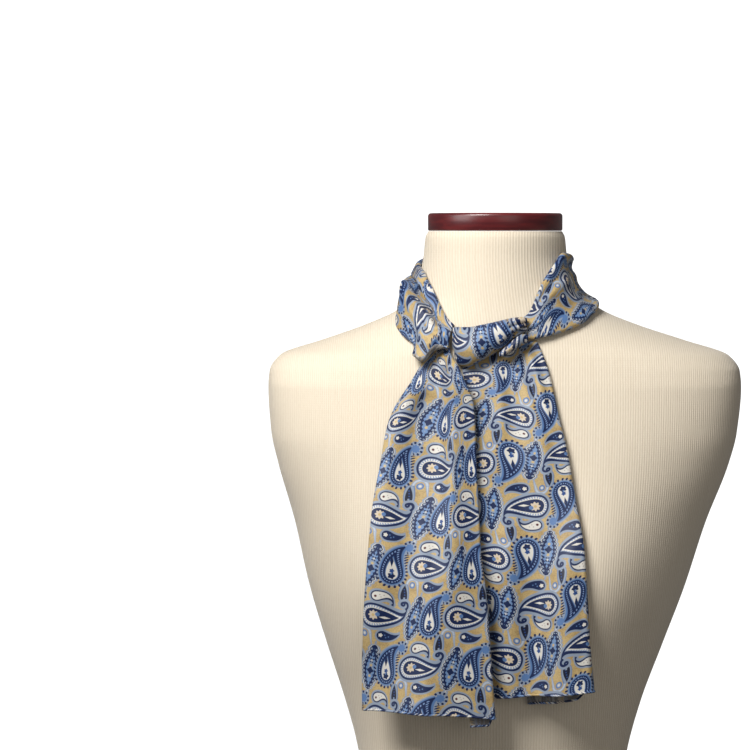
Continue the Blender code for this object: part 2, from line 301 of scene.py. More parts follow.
class Beads(NamedTuple):
    """A row of beads along an outline: its middle level, half its width, and its pitch."""

    middle: float
    half: float
    pitch: float


class Band(NamedTuple):
    """A band of colour up to a value, and how much it covers."""

    limit: float
    colour: Colour
    cover: float = 1.0


SCALLOPED = Drop((8.0, 0.5), (1.2, 0.0), -0.10, 0.42, 6.5, 9.3, 27.0, 0.40)
SCALLOPED_BANDS = (Band(0.83, SCALLOP), Band(1.0, NAVY), Band(1.19, PALE), Band(1.3, PALE, 0.0))
SCALLOPED_PEARLS = Beads(0.70, 0.11, 2.6)
SCALLOPED_MARKS = (Mark(1.4, 0.2, 3.3, 8, SAND), Mark(1.2, 0.2, 1.1, 0, GOLD), Mark(4.3, 0.9, 1.6, 0, SKY))
CORE_BANDS = (Band(1.0, NAVY), Band(1.10, CREAM), Band(1.3, CREAM, 0.0))
FRINGED = Drop((-19.0, 1.0), (-20.6, -7.0), pi / 2 + 0.10, -0.50, 2.3, 7.3, 26.0, 0.43)
FRINGED_BANDS = (Band(0.52, CREAM), Band(0.58, SKY), Band(1.0, NAVY), Band(1.13, SKY), Band(1.30, PALE),
                 Band(1.55, PALE, 0.0))
FRINGED_STITCHES = Beads(0.80, 0.065, 2.2)
FRINGED_FRINGE = Beads(1.33, 0.16, 2.6)
FRINGED_MARKS = (Mark(-0.3, -0.8, 2.4, 5, NAVY), Mark(-0.2, 3.2, 1.6, 5, BLUE), Mark(-0.4, 0.9, 0.8, 0, SKY))
CROWN_AT = (12.0, 22.4, 0.0)
CROWN_COUNT = 9
CROWN_RAYS = Beads(4.6, 0.95, 2 * pi / CROWN_COUNT)
CREAM_DROP = Drop((9.0, 14.0), (4.2, 15.4), 0.28, -0.95, 2.4, 4.1, 14.6, 0.36)
CREAM_BANDS = (Band(0.76, CREAM), Band(1.0, NAVY), Band(1.34, PALE), Band(1.6, PALE, 0.0))
CREAM_MARKS = (Mark(-0.6, -0.2, 0.95, 0, RUSSET), Mark(2.4, 1.2, 0.4, 0, RUSSET, 0.6),
               Mark(3.2, -0.6, 0.4, 0, RUSSET, 0.6), Mark(5.2, 0.8, 0.4, 0, RUSSET, 0.6))
NAVY_DROP = Drop((14.0, -16.0), (8.9, -15.8), -0.32, 0.46, 2.0, 3.7, 13.6, 0.34)
NAVY_BANDS = (Band(1.0, NAVY), Band(1.34, PALE), Band(1.7, PALE, 0.0))
NAVY_MARKS = (Mark(-0.9, 0.3, 1.45, 5, CREAM), Mark(2.2, 0.4, 0.5, 0, SKY), Mark(3.0, -1.6, 0.5, 0, SKY),
              Mark(5.0, -0.9, 0.5, 0, SKY))
SEED_DROP = Drop((-11.2, -21.5), (-11.4, -25.2), pi / 2 + 0.02, -0.05, 2.0, 2.4, 10.8, 0.44)
SEED_BANDS = (Band(1.0, DARK), Band(1.4, PALE), Band(1.58, SKY), Band(2.2, PALE, 0.0))
SEED_SPECKS = Beads(0.7, 0.6, 2.2)
SEED_MARKS = (Mark(0.0, 0.2, 0.7, 0, PALE),)
BALL = (-4.6, -14.6)
LEAF = (34.4, -0.5)
LEAF_LEAN = 14
LEAF_WIDTHS = ((-19, -0.6), (-17, 1.8), (-12, 4.5), (-6, 6.3), (-1, 7.0), (3, 6.4), (8, 4.8), (12, 3.1),
               (14, 2.8), (15.5, 2.9), (16.5, 1.6), (18, -0.8), (20, -2))
LEAF_BANDS = (Band(-5.2, PALE), Band(-3.4, STEEL), Band(0.1, NAVY), Band(0.6, CREAM), Band(2.1, PALE),
              Band(2.9, PALE, 0.0))
LEAF_PITCH = 3.1
LEAF_RING_START = 0.78
LEAF_RINGS = Beads(-1.35, 0.85, LEAF_PITCH)
LEAF_VEINS = Beads(0.9, 0.7, 2.6)
LEAF_MARKS = (Mark(0.0, -3.2, 2.5, 4, NAVY), Mark(0.0, -7.6, 1.0, 0, GOLD), Mark(0.0, 0.9, 1.0, 0, GOLD))
LEAF_BUD = (Mark(0.0, 5.0, 0.6, 0, CREAM),)


class Shape(NamedTuple):
    """A drop as the shader sees it: how far out a point is, and how far along its outline."""

    at: Socket
    level: Signal
    tip: Signal
    radius: Signal
    run: Signal


class Paisley:
    """The print: a half-drop repeat of curved drops and leaves on a gold ground."""

    width: float = 69.0
    height: float = 80.2
    edge: float = 0.16
    petal: float = 0.17
    past_tip: float = 0.8
    drop_reach: tuple[float, float] = (0.0, 2.0)
    bead_edge: tuple[float, float] = (-0.35, 0.25)

    def __init__(self, recipe: Recipe, cloth: Socket) -> None:
        """Lay the gold ground, a little uneven as dyed silk is.

        Args:
            recipe: The material.
            cloth: The place on the cloth in millimetres.
        """
        self.recipe = recipe
        self.cloth = cloth
        patch_scale, speck_scale = 0.09, 0.85
        patch = recipe.step(recipe.noise(cloth, patch_scale), 0.35, 0.7)
        speck = recipe.step(recipe.noise(cloth, speck_scale, 1.0), 0.42, 0.62)
        self.colour = recipe.mix(patch * 0.6 + speck * 0.4, GOLD, UMBER)

    def near(self, middle: tuple[float, float]) -> Socket:
        """Give the place from the nearest copy of a point of the repeat.

        Args:
            middle: The point, which shows again half a repeat on and half a repeat up.

        Returns:
            The place in millimetres.
        """
        half = (self.width / 2, self.height / 2, 1.0)
        back = tuple(-value for value in half)
        other = (middle[0] + half[0], middle[1] + half[1], 0.0)
        folded = []
        for point in ((*middle, 0.0), other):
            moved = self.recipe.vector("SUBTRACT", self.cloth, point)
            folded.append(self.recipe.vector("WRAP", moved, half, back))
        reach = [self.recipe.measure(place) for place in folded]
        made = self.recipe.node("Mix", {"data_type": "VECTOR"}, {0: reach[1] < reach[0]})
        for index, place in zip((4, 5), folded):
            self.recipe.feed(made.inputs[index], place)
        return made.outputs[1]

    def drop(self, drop: Drop) -> Shape:
        """Give a drop's shape around its nearest copy, with a level of 1 on its outline.

        Args:
            drop: The drop.

        Returns:
            Its shape.
        """
        recipe = self.recipe
        offset = (drop.head[0] - drop.room[0], drop.head[1] - drop.room[1], 0.0)
        at = recipe.vector("SUBTRACT", self.near(drop.room), offset)
        x, y, _ = recipe.split(at)
        radius = recipe.measure(at)
        bend = (radius * (1 / drop.length)) ** drop.power * drop.curl
        turn = recipe.math("WRAP", recipe.math("ARCTAN2", y, x) - bend - drop.aim, pi, -pi)
        tip = recipe.math("EXPONENT", abs(turn) * (-1 / drop.taper))
        outline = recipe.math("MULTIPLY_ADD", tip, drop.length - drop.radius, drop.radius)
        past = (radius - drop.length) * self.past_tip + 1.0
        level = recipe.math("MAXIMUM", radius / outline, past)
        return Shape(at, level, tip, radius, (abs(turn) + level) * drop.radius - radius)

    def beads(self, level: Signal, run: Signal, beads: Beads) -> Signal:
        """Give the cover of a row of beads.

        Args:
            level: How far out a point is.
            run: How far along the outline it is.
            beads: The row.

        Returns:
            The cover.
        """
        away = (level - beads.middle) * (1 / beads.half)
        wave = self.recipe.math("SINE", run * (2 * pi / beads.pitch))
        return self.recipe.step(wave - away * away * away * away, *self.bead_edge)

    def lay(self, cover: Signal, colour: Any) -> None:
        """Lay a colour over the print so far."""
        self.colour = self.recipe.mix(cover, self.colour, colour)

    def bands(self, value: Signal, reach: tuple[float, float], soft: float, bands: Sequence[Band]) -> None:
        """Lay bands of colour.

        Args:
            value: What the bands go by.
            reach: The values at the ramp's start and end.
            soft: Half the width over which one band turns into the next.
            bands: The bands, from the inside.
        """
        low, span = reach[0], reach[1] - reach[0]
        stops = []
        for band, after in zip(bands, bands[1:]):
            stops.append(((band.limit - soft - low) / span, band.colour, band.cover))
            stops.append(((band.limit + soft - low) / span, after.colour, after.cover))
        colour, cover = self.recipe.ramp((value - low) * (1 / span), stops)
        self.lay(cover, colour)

    def marks(self, at: Socket, marks: Sequence[Mark]) -> None:
        """Lay small flowers and dots.

        Args:
            at: The place on the motif.
            marks: The flowers and dots, in the order that they are laid.
        """
        recipe = self.recipe
        for mark in marks:
            centre = (mark.x, mark.y, 0.0)
            if mark.petals:
                moved = recipe.vector("SUBTRACT", at, centre)
                x, y, _ = recipe.split(moved)
                wave = recipe.math("COSINE", recipe.math("ARCTAN2", y, x) * float(mark.petals))
                reach = recipe.measure(moved) - wave * (self.petal * mark.radius)
            else:
                reach = recipe.measure(at, centre)
            cover = recipe.step(reach, mark.radius + self.edge, mark.radius - self.edge)
            self.lay(cover if mark.cover == 1 else cover * mark.cover, mark.colour)

    def leaf(self) -> None:
        """Lay the toothed leaf with its row of rings."""
        recipe = self.recipe
        turned = {"Vector": self.near(LEAF), "Angle": radians(LEAF_LEAN)}
        at = recipe.node("VectorRotate", {"rotation_type": "Z_AXIS"}, turned).outputs[0]
        x, y, _ = recipe.split(at)
        foot, span, least, room = 20.0, 46.0, 2.0, 10.0
        stops = [((place + foot) / span, ((width + least) / room,) * 3, 1) for place, width in LEAF_WIDTHS]
        profile = recipe.ramp((y + foot) * (1 / span), stops)[0]
        width = recipe.split(profile)[0] * room - least
        teeth = abs(recipe.math("SINE", y * (pi / LEAF_PITCH)))
        deep = abs(x) - width - teeth * 1.1 + 0.4
        self.bands(deep, (-8.0, 3.0), 0.14, LEAF_BANDS)
        rings = self.beads(deep, y - LEAF_RING_START, LEAF_RINGS)
        self.lay(rings * (y > -17.0) * (y < 16.0), PALE)
        self.marks(at, LEAF_MARKS)
        veins = self.beads(abs(x), y, LEAF_VEINS)
        self.lay(veins * (deep < -3.4) * (y > 3.0), NAVY)
        self.marks(at, LEAF_BUD)

    def navy_drop(self) -> None:
        """Lay the navy drop with its small white flower."""
        shape = self.drop(NAVY_DROP)
        self.bands(shape.level, self.drop_reach, 0.035, NAVY_BANDS)
        self.marks(shape.at, NAVY_MARKS)

    def cream_drop(self) -> None:
        """Lay the cream drop with its dark eye and the hook at its tip."""
        shape = self.drop(CREAM_DROP)
        hook_at, hook_radius = (11.2, -6.4, 0.0), 0.9
        hook = self.recipe.measure(shape.at, hook_at) - hook_radius
        far = self.recipe.math("MINIMUM", shape.level, hook * 0.25 + 1.0)
        self.bands(far, self.drop_reach, 0.035, CREAM_BANDS)
        self.marks(shape.at, CREAM_MARKS)

    def fringed(self) -> None:
        """Lay the upright drop with its fringe and its bud."""
        shape = self.drop(FRINGED)
        fringe_end, bud_x, bud_y = 17.0, -0.5, 11.0
        self.bands(shape.level, self.drop_reach, 0.02, FRINGED_BANDS)
        self.lay(self.beads(shape.level, shape.run, FRINGED_STITCHES) * 0.9, BEAD)
        x, y, _ = self.recipe.split(shape.at)
        self.lay(self.beads(shape.level, shape.run, FRINGED_FRINGE) * (y < fringe_end), NAVY)
        self.marks(shape.at, FRINGED_MARKS)
        bud = abs(x - bud_x) * 0.7 + abs(y - bud_y) * 0.2
        self.lay(self.recipe.step(bud, 1.0, 0.85), NAVY)
        self.crown(shape.at)

    def crown(self, at: Socket) -> None:
        """Lay the rayed crown at the tip of the fringed drop.

        Args:
            at: The place on the drop.
        """
        recipe = self.recipe
        middle = recipe.vector("SUBTRACT", at, CROWN_AT)
        x, y, _ = recipe.split(middle)
        far = recipe.measure(middle)
        turn = recipe.math("ARCTAN2", y, x)
        beyond = x + y * 0.4
        self.lay(recipe.step(far, 5.9, 5.5) * (beyond > -2.6), PALE)
        self.lay(self.beads(far, turn, CROWN_RAYS) * (beyond > -3.4), NAVY)
        wave = recipe.math("COSINE", turn * float(CROWN_COUNT))
        self.lay(recipe.step(far - wave * 0.4, 3.3, 2.9), SKY)

    def curl(self) -> None:
        """Lay the pale curl with a ball that joins a seed to its leaf."""
        recipe = self.recipe
        bend, half, drop = 4.8, 0.9, 4.0
        at = self.near(BALL)
        x, y, _ = recipe.split(at)
        radius = recipe.measure(at)
        arch = recipe.math("MAXIMUM", abs(radius - bend) - half, -y)
        leg = recipe.math("MAXIMUM", abs(x - bend + y * 0.10) - 0.8 - y * 0.08, abs(y + drop) - 4.1)
        line = recipe.math("MINIMUM", arch, leg)
        for reach, outside, inside, colour in ((line, 0.5, 0.2, MIST), (line, 0.0, -0.4, FROST),
                                               (radius, 2.9, 2.4, SKY), (radius, 2.0, 0.4, CREAM)):
            self.lay(recipe.step(reach, outside, inside), colour)

    def seed(self) -> None:
        """Lay the small navy seed in its pale case."""
        shape = self.drop(SEED_DROP)
        self.bands(shape.level, (0.0, 2.4), 0.05, SEED_BANDS)
        x, y, _ = self.recipe.split(shape.at)
        self.lay(self.beads(x + y * 0.12, y, SEED_SPECKS) * (shape.level < 0.85), BLUE)
        self.marks(shape.at, SEED_MARKS)

    def scalloped(self) -> None:
        """Lay the large drop on its side, with its hooked tip and its ring of scallops."""
        recipe = self.recipe
        shape = self.drop(SCALLOPED)
        x, y, _ = recipe.split(shape.at)
        ring_x, ring_y, ring_radius, ring_half, ring_left = 22.9, 8.8, 2.9, 0.95, 20.6
        ring = abs(recipe.measure(shape.at, (ring_x, ring_y, 0.0)) - ring_radius) - ring_half
        ring = recipe.math("MAXIMUM", ring, ring_left - x)
        ring = recipe.math("MAXIMUM", ring, 7.2 - y + (x - ring_x) * -1.6)
        knob_at, knob_radius = (21.6, 10.3, 0.0), 2.0
        hook = recipe.math("MINIMUM", ring, recipe.measure(shape.at, knob_at) - knob_radius)
        far = recipe.math("MINIMUM", shape.level, hook * 0.1 + 1.0)
        self.bands(far, self.drop_reach, 0.016, SCALLOPED_BANDS)
        self.lay(self.beads(shape.level, shape.run, SCALLOPED_PEARLS), CREAM)
        core_radius, core_length = 5.3, 19.5
        core = shape.radius / recipe.math("MULTIPLY_ADD", shape.tip, core_length - core_radius, core_radius)
        self.bands(core, self.drop_reach, 0.025, CORE_BANDS)
        self.marks(shape.at, SCALLOPED_MARKS)
        sprig_x, sprig_y = 9.2, -1.6
        sprig = abs(x - sprig_x) * 0.22 + abs(y - sprig_y + (x - sprig_x) * 0.12) * 0.9
        self.lay(recipe.step(sprig, 1.0, 0.8), CREAM)

    def draw(self) -> Socket:
        """Lay every motif, the nearest last, and give the whole print's colour."""
        for motif in (self.leaf, self.navy_drop, self.cream_drop, self.fringed, self.curl, self.seed,
                      self.scalloped):
            motif()
        return self.colour


MIDDLE_Y = 7.5
CLEAR = 1.3
FORM_HEIGHT = 710.0
CAP_THICKNESS = 15.0
CAP_RADIUS = 57.0
SEAM = 0.3
NECK_X = -7.6
NECK_TOP = FORM_HEIGHT - CAP_THICKNESS - SEAM
BUST_HEIGHT = 405
BUST_PLACE = 82
BUST_RISE = 30
BUST_TALL = 58
BUST_WIDE = 45
HANG_TOP = 612
HANG_FREE = 600
HANG_LOW = 280
HANG_STEP = 2
CREASE_GROWS = 0.25
CREASE_FADES = 0.6
PUSHES = 4
HALVINGS = 20


class Ring(NamedTuple):
    """The form's section at a height: a rounded box round an axis, in millimetres."""

    height: float
    axis: float
    half: float
    front: float
    back: float
    square: float


FORM_RINGS = (
    Ring(0, -9, 186, 112, 120, 2.3),
    Ring(50, -9, 184, 114, 121, 2.3),
    Ring(88, -9, 177, 113, 120, 2.3),
    Ring(126, -9, 165, 109, 115, 2.3),
    Ring(152, -9, 154, 105, 108, 2.25),
    Ring(177, -9, 137, 100, 101, 2.2),
    Ring(203, -9, 119, 95, 92, 2.2),
    Ring(228, -9, 111, 92, 87, 2.2),
    Ring(258, -9, 116, 93, 89, 2.2),
    Ring(296, -9, 126, 96, 93, 2.2),
    Ring(347, -8, 143, 99, 99, 2.25),
    Ring(398, -6, 160, 100, 105, 2.3),
    Ring(449, -3.5, 174, 99, 108, 2.5),
    Ring(500, -1, 191, 96, 108, 2.8),
    Ring(526, -0.5, 197, 93, 106, 2.9),
    Ring(564, 0, 200, 85, 101, 2.9),
    Ring(577, 0, 199, 81.5, 98, 2.7),
    Ring(590, 0, 190, 78, 95, 2.35),
    Ring(602.5, -0.5, 154, 74.5, 91, 2.0),
    Ring(615, -2, 117, 71.5, 86, 1.9),
    Ring(628, -3.5, 87, 68.5, 80, 1.95),
    Ring(640, -5, 72, 66, 74, 2.0),
    Ring(655, -6.5, 65.5, 63.5, 68, 2.0),
    Ring(672, NECK_X, 61, 61, 63, 2.0),
    Ring(690, NECK_X, 59, 59, 59.5, 2.0),
    Ring(NECK_TOP, NECK_X, 56.5, 56.5, 56.5, 2.0),
)


class Fold(NamedTuple):
    """A section of the collar at a turn round the neck.

    turn: degrees from the front, to the viewer's right. top, low: heights of the two folded
    edges. top_lift, low_lift: how far those stand off the form. swell: bulge between them.
    groove: depth of the crease along it. split: the share down at which that crease runs.
    curl: 1 where the low edge is folded under, below 0 where it turns out.
    """

    turn: float
    top: float
    low: float
    top_lift: float
    low_lift: float
    swell: float
    groove: float
    split: float
    curl: float


COLLAR_LEFT = (
    Fold(-126, 674, 646, 0, 0.2, 4, 0, 0.45, 1),
    Fold(-112, 670, 644, 0, 0.2, 4, 0.5, 0.45, 1),
    Fold(-95, 667, 641, 0, 0.2, 5, 2, 0.44, 1),
    Fold(-80, 664, 637, 0, 0.2, 5.5, 5, 0.36, 1),
    Fold(-66, 660.5, 627, 0.8, 0.2, 9, 7, 0.26, 1),
    Fold(-57, 653.5, 618, 1.2, 0.2, 9, 7.5, 0.25, 1),
    Fold(-50, 647, 611.5, 1.2, 0.5, 9, 7.5, 0.25, 0.9),
    Fold(-43, 639, 606, 1.2, 1, 8, 6.5, 0.25, 0.6),
    Fold(-37.5, 631.5, 595.5, 0.3, 4, 6, 4, 0.20, -0.4),
    Fold(-33.5, 626, 590, 0.6, 5.5, 5, 3.2, 0.21, -0.95),
    Fold(-30, 621.5, 599, 1, 4.5, 4, 2.5, 0.22, -0.95),
    Fold(-24.8, 616.5, 602, 2, 3.5, 2, 1, 0.25, -0.5),
)
COLLAR_BACK = (
    Fold(126, 674, 646, 0, 0.2, 4, 0, 0.45, 1),
    Fold(152, 680, 648, 0, 0.2, 4, 0, 0.45, 1),
    Fold(180, 682, 649, 0, 0.2, 5, 0, 0.45, 1),
    Fold(208, 679, 648, 0, 0.2, 4, 0, 0.45, 1),
    Fold(234, 674, 646, 0, 0.2, 4, 0, 0.45, 1),
)
COLLAR_RIGHT = (
    Fold(16.5, 621, 610, 0, 0, 0, 0, 0.3, 1),
    Fold(21, 626, 609, 1, 2, 1, 0, 0.3, 1),
    Fold(27, 637, 611, 0.5, 2, 2, 0, 0.3, 1),
    Fold(33, 648, 613, 0, 1.5, 1, 0, 0.3, 1),
    Fold(42, 659.5, 617, 0, 0.6, -1, 0, 0.3, 1),
    Fold(52, 667.5, 623, 0, 0.3, -4, 0, 0.3, 1),
    Fold(64, 675, 630, 0, 0.2, -8, 0, 0.3, 1),
    Fold(78, 674, 635, 0, 0.2, -11, 0, 0.3, 1),
    Fold(92, 671, 638, 0, 0.2, -9, 0, 0.3, 1),
    Fold(108, 672, 642, 0, 0.2, -2, 0, 0.3, 1),
    Fold(126, 674, 646, 0, 0.2, 4, 0, 0.45, 1),
)


class Bundle(NamedTuple):
    """A section of gathered cloth at a place across the knot.

    top, low: its edges. out: how far its middle stands off the form. deep: half its depth.
    """

    across: float
    top: float
    low: float
    out: float
    deep: float


KNOT_BAND = (
    Bundle(-42.2, 616, 600, 8.5, 5),
    Bundle(-37.5, 617, 585, 10.5, 7),
    Bundle(-30, 617, 583.5, 12, 10),
    Bundle(-18, 619, 589, 12.5, 12),
    Bundle(-4, 622, 597, 12.5, 12),
    Bundle(8, 624.6, 606.5, 12, 10),
    Bundle(15, 625, 611, 11, 7.5),
    Bundle(18.5, 624, 613, 10.5, 5),
)
KNOT_CORE = (
    Bundle(-38, 612, 603, 7, 3),
    Bundle(-30, 613, 595, 8.6, 7),
    Bundle(-18, 616, 600, 10.2, 8.9),
    Bundle(-4, 619, 606, 10.3, 9),
    Bundle(4, 621, 611, 9.8, 8),
    Bundle(9, 621, 614, 8.5, 5),
)
KNOT_ROLL = (
    Bundle(-4, 596, 592.4, 14, 1.7),
    Bundle(2, 601.6, 594.2, 15.5, 3.6),
    Bundle(9, 607.6, 598.4, 15.5, 4.4),
    Bundle(15, 611, 601.8, 14, 4.4),
    Bundle(19.5, 610.5, 603.6, 12, 3),
)


class Hang(NamedTuple):
    """A section of a tail at a height.

    tilt: how far its right end is above its left. arch: how far its middle is above its ends.
    left, right: its ends. lift_left, lift_right: how far the ends stand off the hanging line.
    back: width of the strip turned back behind the right end. fold: distance between the strip
    and the front.
    """

    height: float
    tilt: float
    arch: float
    left: float
    right: float
    lift_left: float
    lift_right: float
    back: float
    fold: float


TAIL_LEFT = (
    Hang(600, 0, 0, -57, -45, 2.4, 5.5, 1, 1.8),
    Hang(595, 0, 0, -61, -44, 2.6, 9, 1, 1.8),
    Hang(590, 0, 0, -65, -41.5, 3.5, 14.5, 1, 1.8),
    Hang(584, 0, 0, -69, -37, 4.5, 19, 2, 2),
    Hang(576, 0, 0, -73.5, -33.6, 4, 18.5, 3, 2.2),
    Hang(565, 0, 0, -80.2, -28.2, 3, 16.5, 5, 2.5),
    Hang(555, 0, 0, -87, -25, 2.2, 14, 7, 3),
    Hang(536, 0, 0, -95, -23.5, 1.7, 12, 10, 3),
    Hang(508, 0, 0, -100, -22.5, 1.7, 11, 12, 3),
    Hang(470, 0, 0, -106.5, -20.4, 3.5, 11, 14, 3),
    Hang(436, 0, 0, -109.5, -18.5, 5, 13, 15, 3.2),
    Hang(400, 0, 0, -112.2, -13.8, 6, 17, 16, 3.4),
    Hang(365, 0, 1, -114, -11, 7, 20.5, 17, 3.7),
    Hang(335, 0, 2, -115, -9, 7.5, 22.5, 18, 4),
    Hang(304, -2, 3.5, -115, -6.5, 8, 23.5, 18, 4.4),
)
TAIL_RIGHT = (
    Hang(598, 14, 2, -34, 26.5, 2.4, 2.8, 3, 1.7),
    Hang(588, 13, 1, -34, 31, 2.4, 4, 6, 2),
    Hang(577, 11, 0, -32, 35.5, 2.4, 5.5, 12, 3),
    Hang(562, 6, 0, -30, 40, 2.4, 6.2, 20, 4),
    Hang(545, 2, 0, -28, 44, 2.4, 6.5, 28, 4),
    Hang(520, 0, 0, -26, 50.5, 2.4, 7.8, 36, 4.2),
    Hang(480, 0, 0, -24, 57.5, 2.4, 8.5, 42, 4.5),
    Hang(440, 0, 0, -20, 64.5, 2.4, 9.5, 46, 5),
    Hang(400, 2, 0, -17, 67.2, 2.2, 11, 48, 6),
    Hang(360, 5, 0, -15, 69.5, 2, 13, 48, 8),
    Hang(321, 9, -1, -14, 73, 2, 15, 48, 10.5),
)


class Crease(NamedTuple):
    """A soft ridge, or a trough where `rise` is below 0, along a stretch of cloth.

    start, end: the shares along the stretch between which it shows. place, finish: its share
    across at its start and at its end. left, right: how far it spreads to each side.
    """

    start: float
    end: float
    place: float
    finish: float
    left: float
    right: float
    rise: float

    def height(self, along: float, across: float) -> float:
        """Give how far it stands out at a place on the cloth.

        Args:
            along: The share along the stretch.
            across: The share across it.

        Returns:
            The height in millimetres.
        """
        share = (along - self.start) / (self.end - self.start)
        if not 0 <= share <= 1:
            return 0.0
        away = across - self.place - (self.finish - self.place) * share
        spread = self.left if away < 0 else self.right
        ends = ease(0, CREASE_GROWS, share) * ease(1, CREASE_FADES, share)
        return self.rise * ends * exp(-(away / spread) ** 2)


class Flank(NamedTuple):
    """The steep side of the fold that runs down a tail, at a height.

    place: how far across it starts. width: how wide it shows. rise: how deep it is.
    """

    height: float
    place: float
    width: float
    rise: float


class Shift(NamedTuple):
    """How far the print has moved across and along the cloth, at four places across a stretch.

    along: the share along the stretch. u0, v0 to u3, v3: the moves at its first edge, at a third
    and two thirds of the way across, and at its last edge.

    The tables of shifts and the two leans beside them weren't set by hand. They are the output of
    a least-squares fit to places of the print's motifs that were read off the photograph. The back
    collar's table joins those of its neighbours.
    """

    along: float
    u0: float
    v0: float
    u1: float
    v1: float
    u2: float
    v2: float
    u3: float
    v3: float


LEFT_CREASES = (
    Crease(0.66, 0.88, 0.36, 0.84, 0.10, 0.08, 1.6),
    Crease(0.40, 0.72, 0.80, 0.66, 0.10, 0.08, -1.2),
    Crease(0.82, 1.0, 0.50, 0.40, 0.06, 0.06, -1.3),
    Crease(0.86, 1.01, 0.74, 0.62, 0.06, 0.07, 1.2),
    Crease(0.02, 0.36, 0.30, 0.52, 0.08, 0.12, 1.2),
)
BACK_CREASES = (
    Crease(0.0, 0.55, 0.42, 0.30, 0.08, 0.10, -1.3),
    Crease(0.30, 1.0, 0.66, 0.58, 0.10, 0.08, 1.2),
    Crease(0.52, 0.92, 0.26, 0.34, 0.07, 0.09, 1.0),
    Crease(0.08, 0.40, 0.78, 0.70, 0.07, 0.07, -1.0),
)
RIGHT_CREASES = (
    Crease(0.08, 0.46, 0.26, 0.37, 0.07, 0.10, 2.0),
    Crease(0.05, 0.34, 0.10, 0.20, 0.06, 0.05, -1.2),
    Crease(0.10, 0.40, 0.78, 0.66, 0.10, 0.10, -0.9),
    Crease(0.0, 0.14, 0.55, 0.62, 0.07, 0.07, 1.1),
    Crease(0.62, 0.98, 0.55, 0.44, 0.10, 0.10, 1.4),
)
TAIL_LEFT_CREASES = (
    Crease(0.05, 0.42, 0.14, 0.05, 0.12, 0.24, 8.0),
    Crease(0.28, 0.93, -0.02, 0.04, 0.10, 0.24, 12.0),
    Crease(0.36, 1.30, 0.465, -0.05, 0.14, 0.14, -4.0),
    Crease(0.06, 0.80, 0.74, 0.78, 0.15, 0.12, 4.0),
    Crease(0.10, 0.34, 0.34, 0.30, 0.08, 0.10, -1.5),
    Crease(0.55, 1.30, 0.60, 0.36, 0.16, 0.12, 4.5),
    Crease(0.40, 0.72, 0.46, 0.54, 0.06, 0.07, 1.2),
)
TAIL_RIGHT_CREASES = (
    Crease(0.0, 0.22, 0.73, 0.83, 0.05, 0.05, -2.0),
    Crease(0.0, 0.26, 0.85, 0.93, 0.05, 0.05, 2.2),
    Crease(0.0, 0.30, 0.42, 0.36, 0.07, 0.09, 3.0),
    Crease(0.10, 0.42, 0.80, 0.76, 0.20, 0.08, 2.5),
    Crease(0.42, 1.30, 0.32, 0.16, 0.14, 0.15, 6.5),
    Crease(0.14, 0.60, 0.40, 0.52, 0.09, 0.09, -1.2),
    Crease(0.55, 1.01, 0.84, 0.80, 0.14, 0.12, 3.0),
    Crease(0.30, 0.62, 0.74, 0.84, 0.07, 0.08, 1.4),
)
TAIL_LEFT_FLANKS = (
    Flank(600, -53.0, 8.0, 0.75),
    Flank(588, -54.3, 11.1, 0.8),
    Flank(562, -54.4, 13.7, 0.9),
    Flank(523, -54.3, 14.7, 0.9),
    Flank(500, -54.2, 14.0, 0.85),
    Flank(441, -58.0, 18.0, 0.75),
    Flank(404, -64.0, 24.0, 0.6),
    Flank(350, -72.0, 28.0, 0.5),
    Flank(300, -88.0, 34.0, 0.4),
)
TAIL_RIGHT_FLANKS = (
    Flank(598, -14.0, 30.0, 0.5),
    Flank(545, 0.0, 30.0, 0.8),
    Flank(500, 10.0, 34.0, 0.7),
    Flank(460, 37.0, 26.0, 0.9),
    Flank(428, 33.0, 22.0, 1.0),
    Flank(396, 26.0, 20.0, 1.0),
    Flank(363, 24.0, 20.0, 1.0),
    Flank(321, 22.0, 24.0, 0.9),
)
LEFT_TAIL_SHIFTS = (
    Shift(0.0, 12.3, 10.9, 24.6, 4.1, 29.9, 10.0, 39.1, 10.6),
    Shift(0.07, 3.7, 10.6, 18.5, 0.0, 18.8, 7.4, 31.3, 6.1),
    Shift(0.15, -8.1, 7.0, 3.0, -2.7, -1.6, -0.4, 11.6, -3.3),
    Shift(0.28, -5.4, -1.2, -2.3, -0.3, -6.4, 0.3, 6.2, -5.2),
    Shift(0.45, -3.8, -2.3, -6.1, 1.8, -11.0, 0.4, -0.5, -1.4),
    Shift(0.7, -5.5, 0.7, -11.0, 3.0, -8.5, 1.3, -8.1, 2.6),
    Shift(1.0, -11.3, 6.2, -8.5, 3.8, -17.1, 1.7, -17.6, 3.3),
)
RIGHT_TAIL_SHIFTS = (
    Shift(0.0, 43.3, -64.6, 51.0, -72.0, 45.4, -72.2, 42.8, -62.6),
    Shift(0.12, 42.9, -63.5, 47.5, -62.6, 43.1, -63.2, 44.1, -57.0),
    Shift(0.28, 44.9, -61.2, 43.6, -55.3, 49.4, -58.4, 47.8, -49.9),
    Shift(0.45, 49.1, -56.7, 47.9, -56.2, 52.2, -52.4, 54.9, -42.8),
    Shift(0.7, 52.5, -54.6, 53.8, -55.9, 59.3, -52.3, 61.7, -43.6),
    Shift(1.0, 56.0, -51.8, 59.9, -57.3, 61.3, -54.1, 62.4, -43.4),
)
LEFT_LEAN = -2.0
RIGHT_LEAN = -8.0
